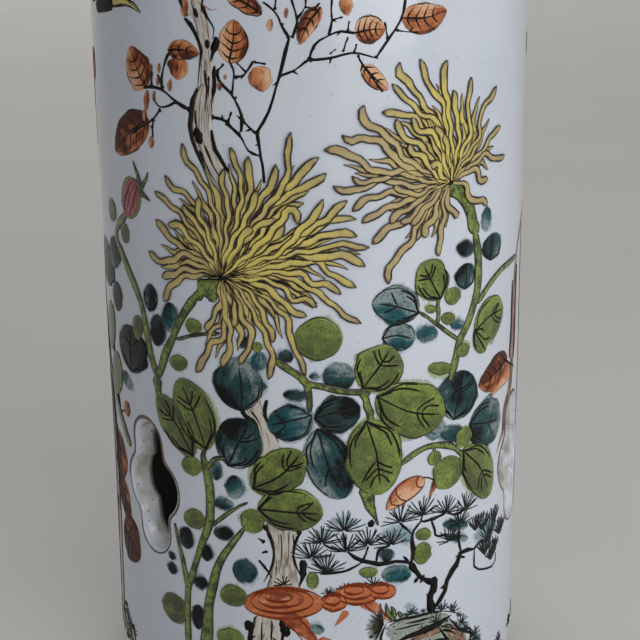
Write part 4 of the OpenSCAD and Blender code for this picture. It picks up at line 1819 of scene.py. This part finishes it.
# Short shoots join the trees to what hangs beside them at the edges of the front
SHOOTS = (
    (-88.3, 85, -86.6, 82.8, -84.5, 79.4), (-88.6, 71, -87.6, 69.4, -86.3, 65.8),
    (-80.5, 86.4, -78, 87, -76, 88),
)
for points in SHOOTS:
    ink_line(points, 0.4, twiggy)
stem((-92, 98.5, -88.4, 96, -85.2, 91.6), 0.9)
lay("brown", PETAL_ROD, (77.5, 139, 71, 136.5, 65.5, 132, 62.9, 125), 1.5, tapering, 0.04, 0.06, 0.5, 0.15)
print(len(SIDE_TREES), "trees at the sides")


# %% Bird
def bird(tail_u, tail_z):
    """A small dark bird with a yellow breast, in mm, facing away from its tail."""
    rump = np.array([tail_u, tail_z], float) + (-3, 4.6)
    neck = rump + (-12, 11.5)
    head = neck + (-1.6, 3.2)
    breast = [neck + (-1.2, 2.5), neck + (-1, -4), rump + (-6.5, 0.6), rump + (2, -2)]
    back = [head + (1.6, 0.6), neck + (4.4, -0.4), rump + (-2, 4.4), rump + (3, -2.2), rump + (12, -5)]
    lay("petals", LEAF_ROD, breast, 4.6, leafy, 0.12, 0.1, 0.9)
    lay("ink", LEAF_ROD, back, 2.6, dabbed, 0.2, 0.05)
    lay("ink", LEAF_ROD, [neck + (2, -1), neck + (0, 1.5), head], 2.7, leafy, 0.2, 0.05)
    lay("ink", LEAF_ROD, [head + (2.9, -0.6), head + (-2.9, 0.4)], 2.7, oval, 0.24, 0.06)
    lay("rust", PETAL_ROD, [head + (-2.3, 0.3), head + (-5.2, -0.1)], 0.8, thinning, 0.2, 0.06)
    lay("petals", LEAF_ROD, [head + (-1.9, 0.8), head + (-0.5, 0.8)], 0.7, oval, 0.34, 0.02, 1.0)
    ink_line([head + (-1.4, 0.8), head + (-1.0, 0.8)], 0.28, oval, 0.39, 0.02)
    # The folded wing, with its feathers drawn in
    wing = [neck + (2.6, -2.4), rump + (-3.6, 4.2), rump + (3.4, -1.4)]
    lay("teal", LEAF_ROD, wing, 2.5, pointed, 0.27, 0.04, 0.1)
    blade = Blade(wing, 2.3, pointed)
    for across in (-0.95, -0.5, -0.1, 0.35, 0.95):
        ink_line(blade.at(np.linspace(0.14, 0.94, 8), across), 0.2, thinning, 0.35)
    for share in (0.2, 0.32, 0.44):
        ink_line(blade.at(share + np.array([0.04, 0, 0.04]), np.array([-0.8, 0, 0.8])), 0.16, even, 0.35)
    for share in (0.3, 0.5, 0.7):
        fluff = np.array(breast[1:3]).mean(0) + [(-2.4, 3 - 6 * share), (-0.6, 2 - 6 * share)]
        ink_line(fluff, 0.12, dabbed, 0.25)
    for step in (-5.4, -8):
        ink_line([rump + (step, -2.5), rump + (step - 0.4, -5), rump + (step + 1, -5.4)], 0.3, even, 0.24)


bird(-81, 201)
print("bird is painted")

# %% [markdown]
# ## The back
# Two more sprays of chrysanthemum fill the back. Their flowers are the two front ones again, mirrored, a
# little smaller and turned. Each grows on one stem with leaves set by turns, and rocks, grass and moss
# close the foot of the wall all the way round.


# %% Sprays
def replanted(paths, root, new_root, scale, turn_deg):
    """A flower's petals about another root, mirrored, scaled and turned."""
    turn = math.radians(turn_deg)
    spin = np.array([[math.cos(turn), math.sin(turn)], [-math.sin(turn), math.cos(turn)]])
    return [((path - root) * (-scale, scale)) @ spin + new_root for path in paths]


def leafy_stem(points, half, count, size):
    """A stem in mm from flower to foot, with leaves by turns on both sides, green and blue-green mixed."""
    path = pairs_of(points)
    stem(path, half)
    spine = smooth_path(path, 101)
    beside = beside_of(spine)
    for i in range(count):
        at = int(np.interp(i, (0, count - 1), (16, 92)))
        side = 1 if i % 2 else -1
        out = beside[at] * side + (0, rng.uniform(-0.15, 0.55))
        base = spine[at] + out * (half + 1.6)
        long = size * rng.uniform(0.75, 1.1)
        stem([spine[at], base + out * 0.5], half * 0.5)
        if i % 5 < 2:
            lift = 0.26 + 0.012 * (i % 6)
            green_leaf(base, base + out * long, long * 0.36, lift, 2, 2, sway(0.08))
        elif i % 5 < 4:
            wet_leaf(base, base + out * long * 0.85, long * 0.34, 0.12 + 0.01 * (i % 5), 1, 1, 0.03, leafy)
        else:
            green_leaf(base, base + out * long * 0.5, long * 0.2, 0.2, 0, 0, 0.03, oval)
        bit = spine[at] - out * rng.uniform(2.5, 4)
        wet_leaf(bit, bit - out * rng.uniform(2.5, 4), rng.uniform(1.2, 2), 0.06 + 0.01 * (i % 4))


THIRD_ROOT = np.array([131, 172])
FOURTH_ROOT = np.array([-152, 118])
third = replanted(left_petals, left_root, THIRD_ROOT, 0.86, -8)
bloom(third, THIRD_ROOT, np.array([-9, 6]), 21, LEFT_INNER)
fourth = replanted(right_petals, right_root, FOURTH_ROOT, 0.9, 12)
bloom(fourth, FOURTH_ROOT, np.array([1, 12]), 14, RIGHT_INNER)
leafy_stem((133, 171, 136, 150, 130, 124, 134, 96, 126, 60, 128, 14), 1.0, 13, 17)
leafy_stem((-152, 117, -147, 98, -152, 70, -145, 42, -148, 14), 0.9, 9, 15)
leafy_stem((152, 96, 148, 74, 140, 52, 134, 34), 0.8, 6, 13)
leafy_stem((104, 104, 108, 80, 104, 50, 108, 14), 0.7, 7, 12)
(base, tip), half = ((150, 97), (156, 106)), 4
lay("green", LEAF_ROD, bowed(base, tip, 0.03), half, oval, 0.14, 0.06, shake=0.07)
lay("rose", LEAF_ROD, bowed(base, tip, 0.03), half * 0.75, oval, 0.22, 0.12)
print("two sprays at the back")

# %% Stems and trunk down to the foot
FOOT_STEMS = ((0.9, -49.8, 28, -48.5, 20, -49, 13), (1.3, -43.7, 30, -42.5, 20, -43, 13))
for half, *points in FOOT_STEMS:
    stem(pairs_of(points), half)
FOOT_TRUNK = (
    (4.0, -25.8, 33, -26, 22, -27, 13), (1.6, -28, 20, -32, 15, -36, 13), (1.6, -23, 20, -19, 15, -15, 13),
)
tree(FOOT_TRUNK, (), ())
lay("lingzhi", PETAL_ROD, [(-10.5, 33), (-6, 26), (-4, 18), (-5, 13)], 2.4, even, 0.06, 0.05, 0.2)


# %% Rocks and grass round the foot
FOOT_Z = 12.8


def rock(middle, width, height):
    """A garden rock on the ground in mm: washes, broken contours, hatching, moss and grass."""
    ground = np.array([middle, FOOT_Z], float)
    top = ground + (sway(0.1) * width, height)
    left = ground + (-width / 2, 0)
    right = ground + (width / 2, 0)
    shoulder = ground + (-0.34 * width, 0.62 * height)
    knee = ground + (0.4 * width, 0.5 * height)
    for share in (0.22, 0.5, 0.76):
        first, last = (end * (1 - share * 0.5) + top * share * 0.5 for end in (left, right))
        middle_spot = (first + last) / 2 + (0, height * share * 0.5)
        wash = [first + (0, height * share * 0.3), middle_spot, last]
        lay("rock", LEAF_ROD, wash, height * 0.26, leafy, 0.03, 0.05, shake=0.18)
        hatched(wash, height * 0.24, 14)
    contours = (
        (left, shoulder, top), (top, knee, right), (shoulder, ground * 0.5 + top * 0.5, ground),
        (top, ground * 0.4 + knee * 0.6, knee * 0.4 + right * 0.6), (left * 0.6 + ground * 0.4, ground),
    )
    for line in contours:
        ink_line(wavy(np.array(line), 0.4), 0.5, dabbed, 0.1, 0.05, 0.5)
    for share in np.linspace(0.05, 0.95, 9):
        spot = shoulder * (1 - share) + knee * share + (0, height * 0.45 * math.sin(math.pi * share))
        wet_leaf(spot, spot + (1.1, 0.5), 0.7, 0.14, tone=0.0)
    for spot in (shoulder, top, knee):
        pine_tuft(spot + (0, 0.6), 2.6, rng.uniform(70, 110), 7)


ROCKS = ((22, 44, 19), (98, 26, 22), (-124, 34, 25), (152, 24, 16), (-84, 14, 9))
for middle, width, height in ROCKS:
    rock(middle, width, height)
GRASS_AT = (-176, -166, -140, -108, -98, -70, -58, -34, -8, 0, 46, 54, 66, 74, 114, 122, 136, 166, 178)
for spot in GRASS_AT:
    pine_tuft((spot, FOOT_Z + 0.8), rng.uniform(2.4, 4.2), rng.uniform(75, 105), 8)
shrub(np.array([112.0, FOOT_Z + 1]), 8, 80)
shrub(np.array([-104.0, FOOT_Z + 1]), 9, 100)
print(len(ROCKS), "rocks and", len(GRASS_AT), "tufts of grass")


# %% [markdown]
# ## Enamels
# Each enamel is a coloured glass or a thin iron wash, fired onto the glaze. The thick ones are glossy, the
# iron red and the ink are drier. Colour changes with the stroke: paler or darker towards its edge, uneven
# where the brush was wet, broken by grain. Washes also fade out at the edge through the alpha, so the white
# shows through.


# %% What a stroke knows
def enamel(name, constants, pattern, *look):
    """An enamel patterned by place and by what its strokes carry: along, side, edge in mm and tone."""
    material, wire, shader = new_finish(name, constants)
    place = wire.node("TexCoord", None, None, "Object")
    marks = (wire.node("Attribute", {"attribute_name": mark}, None, "Fac")
             for mark in ("along", "side", "edge", "tone"))
    feed(shader, wire, pattern(wire, place, *marks, *look))
    return material


def brushed(wire, side, along, tone):
    """Streaks that run along a stroke, other ones in each stroke."""
    where = wire.node("CombineXYZ", None, {0: side * 2.0, 1: along * 0.8, 2: tone * 19})
    return wire.node("TexNoise", None, {"Vector": where, "Scale": 2.6, "Detail": 4.0})


INK_BROWN = (44, 33, 25)
GLOSSY = {"Coat Weight": 0.3, "Coat Roughness": 0.05, "IOR": 1.5, "Specular IOR Level": 0.45}
WET = {"Coat Weight": 0.12, "Coat Roughness": 0.05, "IOR": 1.45, "Specular IOR Level": 0.2}
DRY = {"Specular IOR Level": 0.2, "IOR": 1.45}


# %% Yellow petals and green leaves
def petal_pattern(wire, place, along, side, edge, tone):
    grain = wire.noise(place, 0.9, 3.0)
    wash = wire.noise(place, 0.28, 3.0)
    fill = wire.mix(tone + 1.2 * wash - 0.62, (182, 162, 112), (214, 199, 100))
    fill = wire.mix((side + 1.6 * grain - 0.8).rise(0.1, 0.7) * 0.5, fill, (146, 126, 84))
    fill = wire.mix((along + 0.5 * wash).rise(0.62, 0.2) * 0.6, fill, (152, 132, 98))
    fill = wire.mix(grain.rise(0.55, 0.8) * 0.3, fill, (222, 210, 160))
    slim = along.rise(0.45, 1.0)
    line = (edge + 0.24 * slim + 0.9 * wash + 0.2 * grain).rise(1.12, 0.86)
    # A slim petal keeps some of its yellow between its two lines
    line = line * wire.math("ABSOLUTE", side, 0).rise(0.3, 0.6)
    heart = along.rise(0.97, 1.0) * 0.6
    tip = along.rise(0.06, 0.0) * 0.85
    tint = wire.mix(wire.math("MAXIMUM", wire.math("MAXIMUM", line, heart), tip), fill, INK_BROWN)
    return {"Base Color": tint, "Roughness": 0.22 + 0.2 * grain}


def green_pattern(wire, place, along, side, edge, tone):
    wash = wire.noise(place, 0.16, 3.0)
    grain = wire.noise(place, 1.6, 2.0)
    fill = wire.mix((0.7 * wash + 0.2 * side + 0.1).rise(0.25, 0.7), (80, 94, 39), (129, 150, 62))
    fill = wire.mix(tone * 0.3, fill, (132, 150, 78))
    fill = wire.mix(tone * -0.9, fill, (44, 50, 20))
    fill = wire.mix(edge.rise(1.6, 0.3) * 0.28, fill, (142, 166, 80))
    fill = wire.mix(brushed(wire, side, along, tone).rise(0.5, 0.72) * 0.4, fill, (62, 74, 36))
    patch = wire.noise(place, 0.3, 3.0)
    fill = wire.mix(patch.rise(0.52, 0.72) * 0.4, fill, (150, 168, 74))
    fill = wire.mix(patch.rise(0.48, 0.3) * 0.45, fill, (58, 66, 32))
    fill = wire.mix(grain.rise(0.5, 0.66) * 0.6, fill, (58, 64, 36))
    speck = wire.noise(place, 3.2, 1.0)
    fill = wire.mix(speck.rise(0.61, 0.69) * 0.8, fill, (34, 32, 22))
    line = (edge + 0.6 * wash + 0.6 * grain - 0.45).rise(0.62, 0.2)
    tint = wire.mix(line * 0.9, fill, (62, 44, 29))
    return {
        "Base Color": tint,
        "Roughness": 0.16 + 0.15 * wash,
        "Normal": lightly_bumped(wire, wash, 0.05),
    }


def stem_pattern(wire, place, along, side, edge, tone):
    wash = wire.noise(place, 0.36, 3.0)
    fill = wire.mix(wash.rise(0.34, 0.56), (60, 72, 32), (130, 152, 66))
    fill = wire.mix(side.rise(0.0, 0.9) * 0.65, fill, (50, 60, 30))
    grain = wire.noise(place, 1.6, 2.0)
    fill = wire.mix(grain.rise(0.46, 0.62) * 0.75, fill, (44, 44, 27))
    line = (edge + 0.5 * wash + 0.3 * grain).rise(0.95, 0.65)
    tint = wire.mix(line * 0.92, fill, (36, 28, 19))
    return {"Base Color": tint, "Roughness": 0.2 + 0.15 * wash}


# %% Wet blue-green, iron red and rose
POOL_TURN = 37


def teal_pattern(wire, place, along, side, edge, tone):
    wash = wire.noise(place, 0.14, 3.0)
    grain = wire.noise(place, 1.5, 3.0)
    streak = brushed(wire, side, along, tone)
    # The colour pooled on one side of each leaf, on another one each time
    turn = tone * POOL_TURN
    slope = side * wire.math("SINE", turn, 0) + (2 * along - 1) * wire.math("COSINE", turn, 0)
    depth = 0.4 * slope + 1.9 * wash + 0.7 * streak + 0.5 * tone - 1.08
    pigment = wire.mix(tone + 0.2, (44, 62, 60), (26, 86, 94))
    fill = wire.mix(depth.rise(0.0, 0.42), (6, 10, 13), pigment)
    fill = wire.mix(depth.rise(0.45, 0.95) * 0.85, fill, (146, 162, 162))
    fill = wire.mix(grain.rise(0.5, 0.62) * 0.5, fill, (8, 16, 20))
    rim = (edge + 1.6 * wash + 0.6 * streak).rise(2.1, 0.9)
    fill = wire.mix(rim * 0.5, fill, (8, 48, 60))
    cover = (edge + 0.7 * grain - 0.3).rise(0.0, 1.1)
    return {"Base Color": fill, "Roughness": 0.2 + 0.2 * grain, "Alpha": 0.04 + 0.96 * cover}


def red_pattern(wire, place, along, side, edge, tone):
    wash = wire.noise(place, 0.26, 4.0)
    grain = wire.noise(place, 1.2, 3.0)
    streak = brushed(wire, side, along, tone)
    depth = 0.8 * wash + 0.6 * streak + 0.25 * tone + 0.22 * side - 0.2
    fill = wire.mix(depth.rise(0.4, 0.68), (130, 66, 40), (190, 122, 80))
    fill = wire.mix(depth.rise(0.62, 0.86) * 0.9, fill, (224, 182, 148))
    fill = wire.mix(depth.rise(0.5, 0.36) * 0.85, fill, (74, 40, 36))
    fill = wire.mix(grain.rise(0.58, 0.72) * 0.3, fill, (96, 46, 28))
    cover = (edge + 0.8 * grain - 0.25).rise(0.0, 0.75)
    return {"Base Color": fill, "Roughness": 0.38 + 0.2 * grain, "Alpha": 0.08 + 0.92 * cover}


def wash_pattern(wire, place, along, side, edge, tone, tints, fade_mm, stretch=0.25, strength=1.0, fine=0.9):
    """A thin wash: three tones by cloud, streaked up and down, fading out towards its edge."""
    deep, middle, pale = tints
    wash = wire.noise(place, 0.25, 4.0)
    streak = wire.noise(place, fine, 3.0, (1, 1, stretch))
    fill = wire.mix((0.6 * wash + 0.4 * streak + 0.2 * tone).rise(0.4, 0.6), deep, middle)
    fill = wire.mix(streak.rise(0.52, 0.72) * 0.7, fill, pale)
    cover = (edge + fade_mm * (streak - 0.4)).rise(0, fade_mm) * strength
    return {"Base Color": fill, "Roughness": 0.3 + 0.2 * wash, "Alpha": 0.02 + 0.96 * cover}


# %% Ink
def ink_pattern(wire, place, along, side, edge, tone, dark, pale):
    grain = wire.noise(place, 1.4, 3.0)
    fill = wire.mix((grain * 0.7 + 0.3 * tone).rise(0.45, 0.8), dark, pale)
    return {"Base Color": fill, "Roughness": 0.35 + 0.25 * grain}


BARK = (156, 144, 132), (200, 194, 185), (220, 218, 214)
BROWN = (98, 66, 48), (146, 116, 98), (190, 170, 156)
HALO = (134, 152, 86), (168, 188, 116), (196, 208, 160)
MIST = (96, 132, 146), (138, 168, 180), (182, 200, 208)
ROSE = (120, 48, 62), (158, 74, 90), (198, 130, 140)
FUNGUS = (124, 54, 28), (192, 104, 58), (220, 160, 116)
ROCK = (104, 112, 102), (150, 158, 148), (196, 202, 198)
enamels = {
    "petals": enamel("petal_enamel", GLOSSY, petal_pattern),
    "green": enamel("green_enamel", GLOSSY, green_pattern),
    "stems": enamel("stem_enamel", GLOSSY, stem_pattern),
    "teal": enamel("teal_enamel", WET, teal_pattern),
    "red": enamel("red_enamel", DRY, red_pattern),
    "bark": enamel("bark_wash", DRY, wash_pattern, BARK, 0.4),
    "brown": enamel("brown_wash", DRY, wash_pattern, BROWN, 0.4),
    "ink": enamel("ink_line", DRY, ink_pattern, (18, 16, 14), (46, 40, 33)),
    "needles": enamel("needle_line", DRY, ink_pattern, (24, 30, 28), (62, 76, 72)),
    "rust": enamel("rust_line", DRY, ink_pattern, (116, 44, 18), (158, 82, 46)),
    "halo": enamel("green_halo", GLOSSY, wash_pattern, HALO, 1.2, 1.0, 0.6),
    "mist": enamel("blue_mist", GLOSSY, wash_pattern, MIST, 2.4, 1.0, 0.75),
    "rose": enamel("rose_enamel", GLOSSY, wash_pattern, ROSE, 0.3),
    "lingzhi": enamel("fungus_enamel", GLOSSY, wash_pattern, FUNGUS, 0.3, 1.6, 1.0, 0.3),
    "rock": enamel("rock_wash", GLOSSY, wash_pattern, ROCK, 0.8, 0.6),
    "outline": enamel("window_line", DRY, ink_pattern, (104, 84, 86), (150, 130, 130)),
}
for name, brush in brushes.items():
    if brush.places:
        brush.piece(enamels[name])

# %% [markdown]
# ## Floor and light
# A plain pale floor runs far enough back to fill the frame. One large soft light stands to the right and
# above, as a window would. A small one at the right puts glints on the cut edges of the windows, a weak one
# fills from the left and a faint sky lights the rest, so the left edge of the tube falls into grey as on
# the real one.

# %% Floor
select_none()
FLOOR_SIZE = 30
bpy.ops.mesh.primitive_plane_add(size=FLOOR_SIZE, location=(0, 0, 0))
floor = bpy.context.object
floor.name = "pale_floor"
floor_paint, floor_wire, floor_shader = new_finish("pale_floor", {"Specular IOR Level": 0.2})
floor_place = floor_wire.node("TexCoord", None, None, "Object")
floor_cloud = floor_wire.noise(floor_place, 0.004, 3.0)
feed(floor_shader, floor_wire, {
    "Base Color": floor_wire.mix(floor_cloud, (202, 199, 194), (211, 208, 203)),
    "Roughness": 0.7 + 0.1 * floor_cloud,
})
floor.data.materials.append(floor_paint)


# %% Light
def soft_light(name, place_mm, target_mm, size_mm, power, tint):
    """A square area light turned towards a point."""
    lamp = bpy.data.lights.new(name, "AREA")
    lamp.size = size_mm * MM
    lamp.energy = power
    lamp.color = tint
    holder = bpy.data.objects.new(name, lamp)
    spot = Vector(place_mm) * MM
    aim = Vector(target_mm) * MM - spot
    holder.matrix_world = Matrix.Translation(spot) @ aim.to_track_quat("-Z", "Y").to_matrix().to_4x4()
    bpy.context.scene.collection.objects.link(holder)


soft_light("window_light", (340, -890, 480), (0, 0, 150), 900, 6.15, (1.0, 0.99, 0.97))
soft_light("right_glint", (850, -260, 360), (0, 0, 130), 320, 0.65, (0.97, 0.99, 1.0))
soft_light("left_fill", (-900, -300, 800), (0, 0, 230), 500, 0.35, (1.0, 0.99, 0.97))
soft_light("far_fill", (0, 3500, 3200), (0, 2500, 0), 5000, 110.0, (1.0, 1.0, 1.0))
world = bpy.data.worlds.new("soft_sky")
world.use_nodes = True
world.node_tree.nodes["Background"].inputs["Color"].default_value = (0.93, 0.96, 1.0, 1)
world.node_tree.nodes["Background"].inputs["Strength"].default_value = 0.17
bpy.context.scene.world = world
bpy.context.scene.view_settings.view_transform = "Standard"
